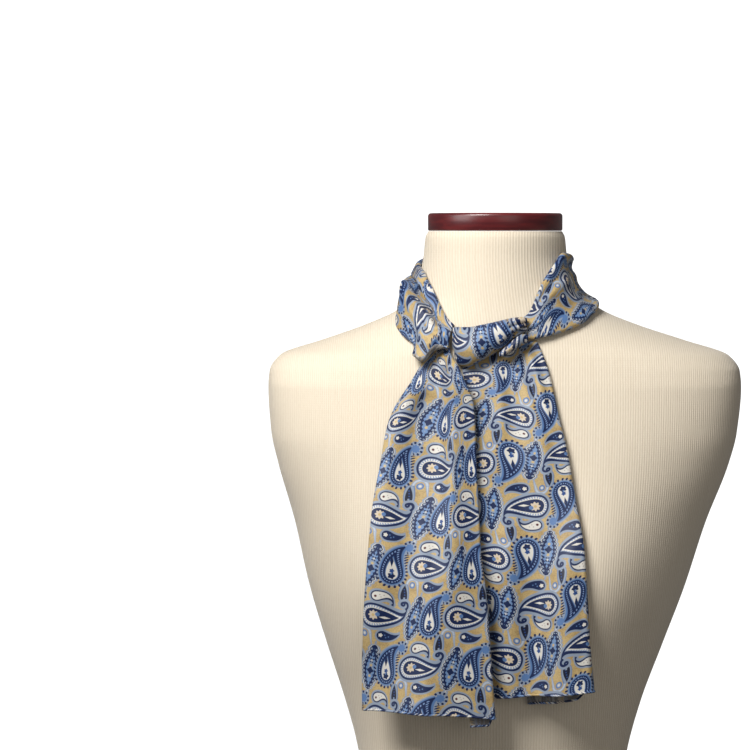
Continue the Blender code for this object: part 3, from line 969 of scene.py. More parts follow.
LEFT_COLLAR_SHIFTS = (
    Shift(0.0, -30.6, -115.2, -30.9, -113.2, -31.2, -107.5, -30.9, -103.0),
    Shift(0.35, -30.2, -116.0, -30.6, -116.5, -31.3, -111.0, -30.4, -104.6),
    Shift(0.55, -29.4, -116.7, -30.1, -121.2, -31.4, -118.6, -29.6, -110.1),
    Shift(0.75, -27.8, -117.1, -28.9, -127.2, -32.3, -127.9, -30.4, -118.1),
    Shift(1.0, -25.1, -119.1, -26.4, -132.3, -33.9, -129.8, -32.3, -123.2),
)
BACK_COLLAR_SHIFTS = (
    Shift(0.0, -43.4, 136.7, -44.2, 131.2, -44.6, 129.7, -44.4, 129.1),
    Shift(1.0, -30.6, 143.4, -30.9, 144.9, -31.3, 150.1, -31.0, 154.1),
)
RIGHT_COLLAR_SHIFTS = (
    Shift(0.0, -64.6, -10.1, -61.6, -14.9, -56.8, -20.2, -59.7, -18.6),
    Shift(0.15, -65.3, -9.0, -64.0, -16.2, -59.3, -21.4, -61.8, -17.4),
    Shift(0.35, -64.5, -10.1, -65.5, -20.1, -63.6, -21.3, -63.9, -16.2),
    Shift(0.6, -64.7, -13.8, -65.7, -21.1, -65.2, -20.4, -64.9, -17.2),
    Shift(1.0, -65.0, -16.8, -65.7, -20.2, -65.8, -19.7, -65.5, -18.2),
)
BAND_CREASES = (
    Crease(0.58, 1.30, 0.80, 0.55, 0.06, 0.07, -2.6),
    Crease(0.66, 1.30, 0.46, 0.50, 0.06, 0.06, -1.4),
    Crease(0.50, 1.20, 0.30, 0.42, 0.07, 0.07, 1.0),
    Crease(-0.30, 0.46, 0.36, 0.46, 0.07, 0.08, -1.3),
    Crease(-0.30, 0.36, 0.66, 0.56, 0.07, 0.08, 1.2),
)
KNOT_SHIFTS = (
    Shift(0.0, 1.2, -5.0, 4.1, 0.4, 4.2, -1.5, 3.1, -0.7),
    Shift(0.5, 1.6, 0.1, 3.7, 5.7, 1.6, 8.5, 1.6, 6.2),
    Shift(1.0, 2.0, 5.0, 2.2, 10.0, 0.1, 18.1, 0.4, 12.7),
)


def total_height(creases: Sequence[Crease], along: float, across: float) -> float:
    """Give how far all the creases of a stretch stand out at a place on it."""
    return sum(crease.height(along, across) for crease in creases)


def section_at(rows: Sequence[Any], key: float) -> Any:
    """Give a table's row at any value of its first column, on a smooth curve without overshoot.

    Args:
        rows: The table, in the order of its first column.
        key: The value of the first column.

    Returns:
        A row of the same kind.
    """
    rows = sorted(rows)
    key = min(max(key, rows[0][0]), rows[-1][0])
    start = max(index for index, row in enumerate(rows[:-1]) if row[0] <= key)
    step = rows[start + 1][0] - rows[start][0]
    share = (key - rows[start][0]) / step
    values = [key]
    for column in range(1, len(rows[0])):
        value = (2 * share ** 3 - 3 * share ** 2 + 1) * rows[start][column]
        value += (share ** 3 - 2 * share ** 2 + share) * step * slope_at(rows, start, column)
        value += (3 * share ** 2 - 2 * share ** 3) * rows[start + 1][column]
        value += (share ** 3 - share ** 2) * step * slope_at(rows, start + 1, column)
        values.append(value)
    return type(rows[0])(*values)


def slope_at(rows: Sequence[Any], index: int, column: int) -> float:
    """Give the slope of a table's column at one of its rows.

    Args:
        rows: The table.
        index: The row.
        column: The column.

    Returns:
        The slope, which is 0 where the column turns back.
    """
    places = [place for place in (index - 1, index) if 0 <= place < len(rows) - 1]
    slopes = [slope_between(rows, place, column) for place in places]
    if len(slopes) == 1:
        return slopes[0]
    if slopes[0] * slopes[1] <= 0:
        return 0.0
    return 2 * slopes[0] * slopes[1] / (slopes[0] + slopes[1])


def slope_between(rows: Sequence[Any], index: int, column: int) -> float:
    """Give the slope of a table's column from one row to the next."""
    return (rows[index + 1][column] - rows[index][column]) / (rows[index + 1][0] - rows[index][0])


def between(rows: Sequence[Any], share: float) -> Any:
    """Give a table's section at a share of the way from its first row to its last."""
    return section_at(rows, rows[0][0] + (rows[-1][0] - rows[0][0]) * share)


def clamp(value: float) -> float:
    """Keep a share between 0 and 1."""
    return min(max(value, 0.0), 1.0)


def ease(start: float, end: float, value: float) -> float:
    """Go smoothly from 0 at `start` to 1 at `end`."""
    share = clamp((value - start) / (end - start))
    return share * share * (3 - 2 * share)


def metres(point: Vector) -> Vector:
    """Turn a point in millimetres from the neck's axis into the frame's metres."""
    return Vector((point.x, point.y + MIDDLE_Y, point.z)) * MM


@lru_cache(maxsize=None)
def level_ring(level: int) -> Ring:
    """Give the form's section at a whole number of half millimetres."""
    return section_at(FORM_RINGS, level / 2)


def form_ring(height: float) -> Ring:
    """Give the form's section at a height.

    Args:
        height: The height in millimetres.

    Returns:
        The section.
    """
    level = min(max(height, 0.0), NECK_TOP) * 2
    low = int(level)
    share = level - low
    return Ring(*(a + (b - a) * share for a, b in zip(level_ring(low), level_ring(low + 1))))


def bust(x: float, height: float) -> float:
    """Give how far the bust swells the front of the form.

    Args:
        x: The place across the form.
        height: The height.

    Returns:
        The swelling in millimetres.
    """
    fade = exp(-((height - BUST_HEIGHT) / BUST_TALL) ** 2 / 2)
    sides = [exp(-((x - side) / BUST_WIDE) ** 2 / 2) for side in (-BUST_PLACE, BUST_PLACE)]
    return BUST_RISE * fade * (sides[0] + sides[1])


def form_reach(x: float, height: float) -> float:
    """Give how far forward the form's front is.

    Args:
        x: The place across the form.
        height: The height.

    Returns:
        The distance in front of the neck's axis.
    """
    ring = form_ring(height)
    across = min(abs(x - ring.axis) / ring.half, 1.0)
    return ring.front * (1 - across ** ring.square) ** (1 / ring.square) + bust(x, height)


def form_excess(point: Vector) -> float:
    """Give a value that is 0 on the form's surface and grows outwards.

    Args:
        point: A place near the form.

    Returns:
        The value.
    """
    ring = form_ring(point.z)
    depth = ring.front + bust(point.x, point.z) if point.y < 0 else ring.back
    across = abs(point.x - ring.axis) / ring.half
    return (across ** ring.square + (abs(point.y) / depth) ** ring.square) ** (1 / ring.square) - 1


def form_slope(point: Vector) -> Vector:
    """Give the slope of `form_excess` over a millimetre, which points away from the form.

    Args:
        point: A place near the form.

    Returns:
        The slope.
    """
    half = 0.5
    steps = (Vector((half, 0, 0)), Vector((0, half, 0)), Vector((0, 0, half)))
    return Vector([form_excess(point + step) - form_excess(point - step) for step in steps])


def form_gap(point: Vector) -> float:
    """Give the distance from the form's surface, near enough for points close to it."""
    return form_excess(point) / form_slope(point).length


def off_form(point: Vector, gap: float = CLEAR) -> Vector:
    """Move a point straight away from the form until it is far enough off it.

    Args:
        point: The point.
        gap: The least distance.

    Returns:
        The moved point.
    """
    for _ in range(PUSHES):
        short = gap - form_gap(point)
        if short <= 0:
            break
        point = point + form_slope(point).normalized() * short
    return point


def neck_point(turn: float, height: float, gap: float) -> Vector:
    """Give the point at a turn round the neck and a height that is `gap` off the form.

    Args:
        turn: Degrees from the front, to the viewer's right.
        height: The height.
        gap: The distance off the form.

    Returns:
        The point.
    """
    inner, outer = CAP_RADIUS / 2, FORM_HEIGHT / 2
    for _ in range(HALVINGS):
        radius = (inner + outer) / 2
        point = Vector((NECK_X + radius * sin(radians(turn)), -radius * cos(radians(turn)), height))
        if form_gap(point) < gap:
            inner = radius
        else:
            outer = radius
    return point


@lru_cache(maxsize=None)
def hang_column(x: int) -> tuple[float, ...]:
    """Give how far forward cloth hangs at a place across, at each step down from the knot.

    Args:
        x: The place across the form, in whole millimetres.

    Returns:
        The distances in front of the neck's axis.
    """
    reach, column = 0.0, []
    for height in range(HANG_TOP, HANG_LOW, -HANG_STEP):
        reach = max(reach if height < HANG_FREE else 0.0, form_reach(x, height))
        column.append(reach)
    return tuple(column)


def hang_reach(x: float, height: float) -> float:
    """Give how far forward cloth hangs: as far as the form reaches at this height or above.

    Args:
        x: The place across the form.
        height: The height.

    Returns:
        The distance in front of the neck's axis.
    """
    last = (HANG_TOP - HANG_LOW) / HANG_STEP - 2
    left, up = int(x // 1), min(max((HANG_TOP - height) / HANG_STEP, 0.0), last)
    row, down, side = int(up), up - int(up), x - left
    columns = (hang_column(left), hang_column(left + 1))
    ends = [column[row] * (1 - down) + column[row + 1] * down for column in columns]
    return ends[0] * (1 - side) + ends[1] * side


class Finish(Enum):
    """The materials that pieces are dressed in."""

    SILK = "silk"
    REVERSE = "silk_reverse"
    JERSEY = "jersey"
    MAHOGANY = "mahogany"


Layer = Callable[[float, float], Vector]
Place = tuple[float, float]
Chart = Sequence[Sequence[Place]]
SAME_POINT = 1e-6
SHARP_EDGE = radians(50)


class Grid:
    """A sheet of points laid by a function of its shares along and across."""

    def __init__(self, rows: int, columns: int, point: Layer) -> None:
        """Lay the points.

        Args:
            rows: Steps along the sheet.
            columns: Steps across it.
            point: Gives the place at a share along and a share across, in millimetres.
        """
        self.rows = rows
        self.columns = columns
        self.places = [[point(row / rows, column / columns) for column in range(columns + 1)]
                       for row in range(rows + 1)]

    def across(self, row: int) -> list[float]:
        """Give the length of cloth from the first column to each column of a row."""
        return self.lengths(self.places[row])

    def along(self, column: int) -> list[float]:
        """Give the length of cloth from the first row to each row of a column."""
        return self.lengths([line[column] for line in self.places])

    def flat(self) -> Place:
        """Give the cloth's width, taken over all its rows, and its length down its middle, in metres."""
        width = sum(self.across(row)[-1] for row in range(self.rows + 1)) / (self.rows + 1)
        return round(width * MM, 3), round(self.along(self.columns // 2)[-1] * MM, 3)

    @staticmethod
    def lengths(points: Sequence[Vector]) -> list[float]:
        """Give the length from the first point to each point of a line.

        Args:
            points: The line.

        Returns:
            A length for each point, from 0.
        """
        total, lengths = 0.0, [0.0]
        for first, second in zip(points, points[1:]):
            total += (second - first).length
            lengths.append(total)
        return lengths


@dataclass
class Workshop:
    """Turns sheets of points into pieces of the scene."""

    finishes: dict[Finish, bpy.types.Material]
    silk: float = 0.7

    def skin(self, grid: Grid, chart: Chart, turned: bool = False) -> bmesh.types.BMesh:
        """Lay a square grid of faces over a sheet of points.

        Args:
            grid: The points.
            chart: The place on the cloth of each point, in millimetres.
            turned: Whether the faces have to be turned to look outwards.

        Returns:
            The mesh, with its cloth map.
        """
        build = bmesh.new()
        bmesh.ops.create_grid(build, x_segments=grid.columns, y_segments=grid.rows, size=0.5)
        cloth = build.loops.layers.uv.new(CLOTH_MAP)
        place = {vertex: (round((vertex.co.y + 0.5) * grid.rows), round((vertex.co.x + 0.5) * grid.columns))
                 for vertex in build.verts}
        for vertex, (row, column) in place.items():
            vertex.co = metres(grid.places[row][column])
        for face in build.faces:
            for loop in face.loops:
                row, column = place[loop.vert]
                loop[cloth].uv = [value * MM for value in chart[row][column]]
        if turned:
            bmesh.ops.reverse_faces(build, faces=build.faces)
        return build

    def close(self, build: bmesh.types.BMesh) -> None:
        """Join a mesh's seams, fill its holes and turn its faces outwards."""
        bmesh.ops.remove_doubles(build, verts=build.verts, dist=SAME_POINT)
        bmesh.ops.holes_fill(build, edges=[edge for edge in build.edges if edge.is_boundary], sides=0)
        bmesh.ops.recalc_face_normals(build, faces=build.faces)

    def piece(self, name: str, build: bmesh.types.BMesh, *finishes: Finish) -> bpy.types.Object:
        """Put a mesh in the scene as one smooth piece on the part's body.

        Args:
            name: The piece's name.
            build: The mesh, which is freed.
            finishes: Its materials.

        Returns:
            The piece.
        """
        piece = place_mesh(name, build)
        for finish in finishes:
            piece.data.materials.append(self.finishes[finish])
        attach(piece, "root")
        return piece

    def cloth(self, name: str, node: str, build: bmesh.types.BMesh) -> bpy.types.Object:
        """Put a sheet of silk in the place of its solid, with the reverse of the cloth inside.

        Args:
            name: The piece's name.
            node: The solid that it replaces.
            build: The sheet, which is freed.

        Returns:
            The piece.
        """
        piece = self.piece(name, build, Finish.SILK, Finish.REVERSE)
        wall = piece.modifiers.new("Thickness", "SOLIDIFY")
        wall.thickness = self.silk * MM
        wall.offset = 0.0
        wall.material_offset = 1
        wall.material_offset_rim = 0
        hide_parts(node)
        return piece

    def tube(self, name: str, path: Sequence[Vector], places: Sequence[Place], radius: float = 1.0,
             sides: int = 8, tip: float = 0.35) -> bpy.types.Object:
        """Make a rolled hem along a path.

        Args:
            name: The piece's name.
            path: The middle of the roll, in millimetres.
            places: The place on the cloth at each point of the path, in millimetres.
            radius: Half its thickness.
            sides: Faces round it.
            tip: The share of that radius at its two ends.

        Returns:
            The piece.
        """
        count = len(path) - 1

        def point(along: float, round_it: float) -> Vector:
            """Give a point of the roll."""
            index = round(along * count)
            before, after = path[max(index - 1, 0)], path[min(index + 1, count)]
            onward = (after - before).normalized()
            steep = abs(onward.y) > 0.9
            first = (onward.orthogonal() if steep else onward.cross(Vector((0.0, 1.0, 0.0)))).normalized()
            end = radius * (tip if index in (0, count) else 1.0)
            angle = 2 * pi * round_it
            return path[index] + first * (end * cos(angle)) + onward.cross(first) * (end * sin(angle))

        chart = [[(u + 2 * pi * radius * side / sides, v) for side in range(sides + 1)] for u, v in places]
        build = self.skin(Grid(count, sides, point), chart)
        self.close(build)
        return self.piece(name, build, Finish.SILK)


def place_mesh(name: str, build: bmesh.types.BMesh) -> bpy.types.Object:
    """Put a mesh in the scene as a smooth object.

    Args:
        name: The object's name.
        build: The mesh, which is freed.

    Returns:
        The object.
    """
    mesh = bpy.data.meshes.new(name)
    build.to_mesh(mesh)
    build.free()
    mesh.shade_smooth()
    return place_data(name, mesh)


def place_data(name: str, data: bpy.types.ID) -> bpy.types.Object:
    """Put a mesh, light or camera in the scene.

    Args:
        name: The object's name.
        data: What it holds.

    Returns:
        The object.
    """
    holder = bpy.data.objects.new(name, data)
    bpy.context.scene.collection.objects.link(holder)
    return holder


@dataclass
class DressForm:
    """The limbless form: a jersey-covered torso that ends flat at the hips and at the neck."""

    shop: Workshop
    sides: int = 192
    bands: tuple[tuple[float, float, int], ...] = (
        (0, 280, 56), (280, 540, 64), (540, 664, 84), (664, NECK_TOP, 16))
    shoulder: float = 564.0
    half_cloth: float = 200.0
    crowding: float = 0.22
    back_start: float = 700.0

    def surface(self, height: float, angle: float) -> Vector:
        """Give a point of the surface.

        Args:
            height: Its height.
            angle: Its turn from the front to the viewer's right.

        Returns:
            The point.
        """
        ring = form_ring(height)
        power = 2 / ring.square
        x = ring.axis + copysign(ring.half * abs(sin(angle)) ** power, sin(angle))
        if cos(angle) > 0:
            return Vector((x, -form_reach(x, height), height))
        return Vector((x, ring.back * abs(cos(angle)) ** power, height))

    def heights(self) -> list[float]:
        """Give the levels of the mesh's rows, closer together where the shape turns most.

        Returns:
            The heights, from the bottom up.
        """
        levels = [NECK_TOP]
        for low, high, count in self.bands:
            levels += [low + (high - low) * index / count for index in range(count)]
        return sorted(levels)

    def chart(self, levels: Sequence[float]) -> Chart:
        """Give the place of each point on the jersey, whose ribs run straight up the form.

        Args:
            levels: The heights of the rows.

        Returns:
            A place for each point of each row.
        """
        rows = []
        for height in levels:
            ring = form_ring(height)
            width = ring.half if height < self.shoulder else self.half_cloth
            line = []
            for side in range(self.sides + 1):
                angle = 2 * pi * side / self.sides
                share = min(max((self.surface(height, angle).x - ring.axis) / width, -1.0), 1.0)
                reach = width * (share + self.crowding * share ** 3)
                line.append((reach if cos(angle) > 0 else self.back_start - reach, height))
            rows.append(line)
        return rows

    def make(self) -> bpy.types.Object:
        """Make the torso and put it in place of its solid.

        Returns:
            The torso.
        """
        levels = self.heights()
        count = len(levels) - 1
        grid = Grid(count, self.sides, lambda along, across: self.surface(
            levels[round(along * count)], 2 * pi * across))
        build = self.shop.skin(grid, self.chart(levels), True)
        self.shop.close(build)
        torso = self.shop.piece("dress_form", build, Finish.JERSEY)
        torso.data.set_sharp_from_angle(angle=SHARP_EDGE)
        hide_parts("form_torso")
        return torso


@dataclass
class NeckCap:
    """The turned wooden cap on the neck."""

    shop: Workshop
    radius: float = CAP_RADIUS
    sides: int = 128
    foot: float = 1.0
    edge: float = 2.6
    steps: int = 6

    def make(self) -> bpy.types.Object:
        """Turn the cap's profile round its axis and put it in place of its solid.

        Returns:
            The cap.
        """
        bottom = FORM_HEIGHT - CAP_THICKNESS
        profile = [(0.0, bottom), (self.radius - self.foot, bottom), (self.radius, bottom + self.foot)]
        for step in range(self.steps + 1):
            angle = pi / 2 * step / self.steps
            inward, down = self.edge * (1 - cos(angle)), self.edge * (1 - sin(angle))
            profile.append((self.radius - inward, FORM_HEIGHT - down))
        profile.append((0.0, FORM_HEIGHT))
        build = bmesh.new()
        points = [build.verts.new(metres(Vector((NECK_X + reach, 0.0, height)))) for reach, height in profile]
        edges = [build.edges.new(pair) for pair in zip(points, points[1:])]
        bmesh.ops.spin(build, geom=points + edges, cent=metres(Vector((NECK_X, 0.0, 0.0))), axis=(0, 0, 1),
                       angle=2 * pi, steps=self.sides, use_merge=True)
        self.shop.close(build)
        cap = self.shop.piece("neck_cap_turned", build, Finish.MAHOGANY)
        cap.data.set_sharp_from_angle(angle=SHARP_EDGE)
        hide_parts("neck_cap")
        return cap


def move_print(base: Chart, shifts: Sequence[Shift], last: int) -> Chart:
    """Move a print by a table of shifts, as gathers and folds move it.

    Args:
        base: The place on the cloth of each point, with no gathers.
        shifts: The table, in order along the stretch.
        last: The column at which the last place across is.

    Returns:
        The place of each point on the gathered cloth.
    """
    rows = []
    for index, line in enumerate(base):
        shift = section_at(shifts, index / (len(base) - 1))
        moved = []
        for column, (u, v) in enumerate(line):
            place = min(3.0 * column / last, 3.0)
            low = min(int(place), 2)
            part = place - low
            start, end = shift[1 + 2 * low:3 + 2 * low], shift[3 + 2 * low:5 + 2 * low]
            moved.append((u + start[0] + (end[0] - start[0]) * part,
                          v + start[1] + (end[1] - start[1]) * part))
        rows.append(moved)
    return rows


def turn_print(base: Chart, lean: float) -> Chart:
    """Turn a print on its cloth by an angle in degrees."""
    a, b = cos(radians(lean)), sin(radians(lean))
    return [[(u * a - v * b, u * b + v * a) for u, v in line] for line in base]


@dataclass
class Collar:
    """A stretch of the scarf folded round the neck, both long edges turned in behind it."""

    shop: Workshop
    name: str
    node: str
    folds: tuple[Fold, ...]
    creases: tuple[Crease, ...]
    shifts: tuple[Shift, ...]
    rows: int
    lean: float
    columns: int = 72
    fold_length: float = 6.3
    groove_width: float = 0.05
    groove_full: float = 3.0
    roll_start: float = 0.13
    roll_crown: float = 0.45
    lip: float = 0.7
    seam_turn: float = 0.45

    def line(self, along: float) -> tuple[Fold, Vector, Vector]:
        """Give a section with the places of its two edges.

        Args:
            along: The share along the stretch.

        Returns:
            The section, its top edge and its low edge.
        """
        first = self.folds[0].turn + self.seam_turn / 2
        last = self.folds[-1].turn - self.seam_turn / 2
        fold = section_at(self.folds, first + (last - first) * along)
        stand = 2 * self.fold_length / pi + CLEAR
        return fold, neck_point(fold.turn, fold.top, stand + fold.top_lift), neck_point(
            fold.turn, fold.low, stand + fold.low_lift)

    def point(self, lines: dict[float, tuple], along: float, share: float) -> Vector:
        """Give a point from the tip of the top fold to the tip of the low fold.

        Args:
            lines: The sections, by their share along the stretch.
            along: The share along the stretch.
            share: The share across it.

        Returns:
            The point.
        """
        fold, top, low = lines[along]
        down = (low - top).normalized()
        face = (low - top).length
        lower = self.fold_length * (1 + self.lip * max(-fold.curl, 0.0))
        run = share * (face + self.fold_length + lower) - self.fold_length
        down_share = clamp(run / face)
        away = form_slope(top).normalized().lerp(form_slope(low).normalized(), down_share).normalized()
        bulge = self.swollen(fold, down_share)
        bulge += total_height(self.creases, along, down_share)
        point = top.lerp(low, down_share) + away * bulge
        if run < 0:
            point += self.turn_in(-down, away, -run, pi / self.fold_length)
        if run > face:
            point += self.turn_in(down, away, run - face, fold.curl * pi / lower)
        return off_form(point)

    def swollen(self, fold: Fold, down: float) -> float:
        """Give how far the face stands out: evenly, or in a roll below the crease along it.

        Args:
            fold: The section.
            down: The share down the face.

        Returns:
            The distance.
        """
        fall = clamp((down - self.roll_crown) / (1 - self.roll_crown))
        roll = ease(fold.split, fold.split + self.roll_start, down) * cos(pi / 2 * fall)
        part = min(fold.groove / self.groove_full, 1.0)
        out = fold.swell * (4 * down * (1 - down) * (1 - part) + roll * part)
        return out - fold.groove * exp(-((down - fold.split) / self.groove_width) ** 2)

    def turn_in(self, onward: Vector, away: Vector, run: float, bend: float) -> Vector:
        """Give the way round a folded edge, which turns by `bend` for every millimetre."""
        return onward * (sin(bend * run) / bend) - away * ((1 - cos(bend * run)) / bend)

    def chart(self, grid: Grid) -> Chart:
        """Give each point's place on the cloth, which runs round the neck.

        Args:
            grid: The points.

        Returns:
            The places.
        """
        middle = grid.along(grid.columns // 2)
        base = [[(u, middle[row]) for u in grid.across(row)] for row in range(grid.rows + 1)]
        return move_print(turn_print(base, self.lean), self.shifts, grid.columns)

    def make(self) -> bpy.types.Object:
        """Make the stretch and put it in place of its solid.

        Returns:
            The stretch.
        """
        lines = {row / self.rows: self.line(row / self.rows) for row in range(self.rows + 1)}
        grid = Grid(self.rows, self.columns, lambda along, across: self.point(lines, along, across))
        piece = self.shop.cloth(self.name, self.node, self.shop.skin(grid, self.chart(grid)))
        grid.flat()
        return piece


@dataclass
class Tail:
    """A hanging end of the scarf: a front, a soft fold at its right and a strip turned back behind."""

    shop: Workshop
    name: str
    node: str
    hangs: tuple[Hang, ...]
    creases: tuple[Crease, ...]
    flanks: tuple[Flank, ...]
    shifts: tuple[Shift, ...]
    rise: float
    upside_down: bool
    rows: int = 230
    columns: int = 150
    front_share: float = 0.68
    bend_share: float = 0.16
    back_drop: float = 6.0
    back_slant: float = 3.0
    crease_stop: float = 0.92
    drop_share: float = 0.2

    def point(self, row: Hang, along: float, across: float) -> Vector:
        """Give a point across the front, round the right fold and back behind.

        Args:
            row: The section.
            along: The share down the tail.
            across: The share across its cloth.

        Returns:
            The point.
        """
        radius = row.fold / 2
        front = row.right - row.left - radius
        free = 1 - self.front_share - self.bend_share
        tuck = max((across - self.front_share - self.bend_share) / free, 0.0)
        angle = pi * clamp((across - self.front_share) / self.bend_share)
        x = row.left + front * min(across / self.front_share, 1.0) + radius * sin(angle) - row.back * tuck
        share = min((x - row.left) / front, 1.0)
        height = row.height + row.tilt * (share - 0.5) + row.arch * 4 * share * (1 - share)
        height -= along ** 3 * (self.back_drop * ease(0, self.drop_share, tuck) + self.back_slant * tuck)
        lift = row.lift_left + (row.lift_right - row.lift_left) * self.profile(row, x, share)
        lift -= radius * (1 - cos(angle))
        if angle == 0:
            lift += ease(1.0, self.crease_stop, share) * total_height(self.creases, along, share)
        return off_form(Vector((x, -(hang_reach(x, height) + lift), height)))

    def profile(self, row: Hang, x: float, share: float) -> float:
        """Give how much of the way the front has risen from its left lift to its right lift.

        Args:
            row: The section.
            x: The place across the form.
            share: The share across the front.

        Returns:
            The share of the rise.
        """
        flank = section_at(self.flanks, row.height)
        steep = ease(flank.place, flank.place + flank.width, x)
        return ease(0, self.rise, share) * (1 - flank.rise) + steep * flank.rise

    def chart(self, grid: Grid) -> Chart:
        """Give each point's place on the cloth, right way up or hanging upside down.

        Args:
            grid: The points.

        Returns:
            The places.
        """
        last = round(self.front_share * grid.columns)
        middle = grid.along(round(self.front_share * grid.columns / 2))
        base = []
        for row in range(grid.rows + 1):
            if self.upside_down:
                base.append([(-across, middle[row]) for across in grid.across(row)])
            else:
                base.append([(across, middle[-1] - middle[row]) for across in grid.across(row)])
        return move_print(base, self.shifts, last)

    def make(self) -> bpy.types.Object:
        """Make the tail and its rolled hem, and put it in place of its solid.

        Returns:
            The tail.
        """
        rows = {index / self.rows: between(self.hangs, index / self.rows) for index in range(self.rows + 1)}
        grid = Grid(self.rows, self.columns, lambda along, across: self.point(rows[along], along, across))
        chart = self.chart(grid)
        piece = self.shop.cloth(self.name, self.node, self.shop.skin(grid, chart, True))
        hem = self.shop.tube(self.name + "_hem", grid.places[-1], chart[-1])
        grid.flat()
        return piece


@dataclass
class Knot:
    """The half knot: the band across its front, the gather inside it and the roll at its right."""

    shop: Workshop
    shifts: tuple[Shift, ...]
    creases: tuple[Crease, ...]
    lean: float = 13.0
    tuck_top: float = 115.0
    tuck_low: float = 92.0
    wall: float = 1.5
    inside: float = 0.4
    band_steps: tuple[int, int] = (110, 80)
    gather_steps: tuple[int, int] = (70, 48)
    core_start: Place = (30.0, 20.0)
    roll_start: Place = (0.0, 10.0)
    roll_lean: float = 70.0

    def round_it(self, row: Bundle, angle: float, inset: float) -> Vector:
        """Give a point round a section.

        Args:
            row: The section.
            angle: The turn from its front to its top.
            inset: How far inside its outline the point is.

        Returns:
            The point.
        """
        middle = (row.top + row.low) / 2
        half = (row.top - row.low) / 2 - inset
        reach = form_reach(row.across, middle) + row.out + (row.deep - inset) * cos(angle)
        return Vector((row.across, -reach, middle + half * sin(angle)))

    def band_point(self, along: float, across: float) -> Vector:
        """Give a point of the band, from behind its top to behind its low edge.

        Args:
            along: The share along it.
            across: The share across it.

        Returns:
            The point.
        """
        angle = radians(self.tuck_top - (self.tuck_top + self.tuck_low) * across)
        inset = self.wall / 2 - total_height(self.creases, along, across)
        return self.round_it(between(KNOT_BAND, along), angle, inset)

    def lay(self, grid: Grid, start: Place, lean: float) -> Chart:
        """Give each point's place on the cloth, with the print nearly upright.

        Args:
            grid: The points.
            start: The place of the first point of the middle line.
            lean: The turn of the print in degrees.

        Returns:
            The places.
        """
        middle = grid.columns // 2
        along = grid.along(middle)
        a, b = cos(radians(lean)), sin(radians(lean))
        rows = []
        for row, x in enumerate(along):
            across = grid.across(row)
            heights = [across[middle] - reach for reach in across]
            rows.append([(start[0] + x * a + y * b, start[1] - x * b + y * a) for y in heights])
        return rows

    def gather(self, name: str, node: str, table: Sequence[Bundle], start: Place, lean: float) -> None:
        """Make a rolled bundle of cloth as a tube.

        Args:
            name: The piece's name.
            node: The solid that it replaces.
            table: Its sections.
            start: The place on the cloth of its first point.
            lean: The turn of the print in degrees.
        """
        grid = Grid(*self.gather_steps, lambda along, across: self.round_it(
            between(table, along), pi - 2 * pi * across, self.inside))
        self.dress(name, node, grid, self.lay(grid, start, lean))

    def dress(self, name: str, node: str, grid: Grid, chart: Chart) -> None:
        """Make a sheet of the knot and put it in place of its solid.

        Args:
            name: The piece's name.
            node: The solid that it replaces.
            grid: Its points.
            chart: Their places on the cloth.
        """
        build = self.shop.skin(grid, chart)
        bmesh.ops.remove_doubles(build, verts=build.verts, dist=SAME_POINT)
        piece = self.shop.cloth(name, node, build)
        grid.flat()
        logging.info("made %s", piece.name)

    def make(self) -> None:
        """Make the band, the gather and the roll."""
        grid = Grid(*self.band_steps, self.band_point)
        chart = move_print(self.lay(grid, (0.0, 0.0), self.lean), self.shifts, grid.columns)
        self.dress("knot_wrap", "knot_band", grid, chart)
        self.gather("knot_gather", "knot_core", KNOT_CORE, self.core_start, 0.0)
        self.gather("knot_twist", "knot_roll", KNOT_ROLL, self.roll_start, self.roll_lean)


@dataclass(frozen=True)
class Silk:
    """Printed silk satin: a smooth face with a soft shine over a fine weave."""

    roughness: float = 0.44
    uneven: float = 0.10
    shine: float = 0.4
    sheen: float = 0.05
    thread: float = 0.28
    slant: Place = (0.9, 0.45)
    twill: float = 0.25
    blot: float = 0.35
    relief: float = 0.00006
    back_share: float = 0.62
    back_colour: Colour = paint(146, 138, 126)
    back_roughness: float = 0.1

    def weave(self, recipe: Recipe, cloth: Socket) -> Signal:
        """Give the height of the fine diagonal ribs of the satin.

        Args:
            recipe: The material.
            cloth: The place on the cloth.

        Returns:
            The height.
        """
        x, y, _ = recipe.split(cloth)
        ribs = recipe.math("SINE", (x * self.slant[0] + y * self.slant[1]) * (2 * pi / self.thread))
        return ribs * self.twill + recipe.noise(cloth, self.blot, 3.0)

    def dress(self, finish: Finish) -> bpy.types.Material:
        """Make the material of the face or the reverse.

        Args:
            finish: Which of the two.

        Returns:
            The material.
        """
        reverse = finish == Finish.REVERSE
        recipe = Recipe(finish.value)
        cloth = recipe.cloth()
        colour = Paisley(recipe, cloth).draw()
        if reverse:
            colour = recipe.mix(self.back_share, colour, self.back_colour)
        grain = self.weave(recipe, cloth)
        roughness = grain * self.uneven + self.roughness + (self.back_roughness if reverse else 0.0)
        recipe.bump(grain, self.relief)
        recipe.set({"Base Color": colour, "Roughness": roughness, "Sheen Weight": self.sheen,
                    "Sheen Roughness": 0.4, "Specular IOR Level": self.shine})
        return recipe.material


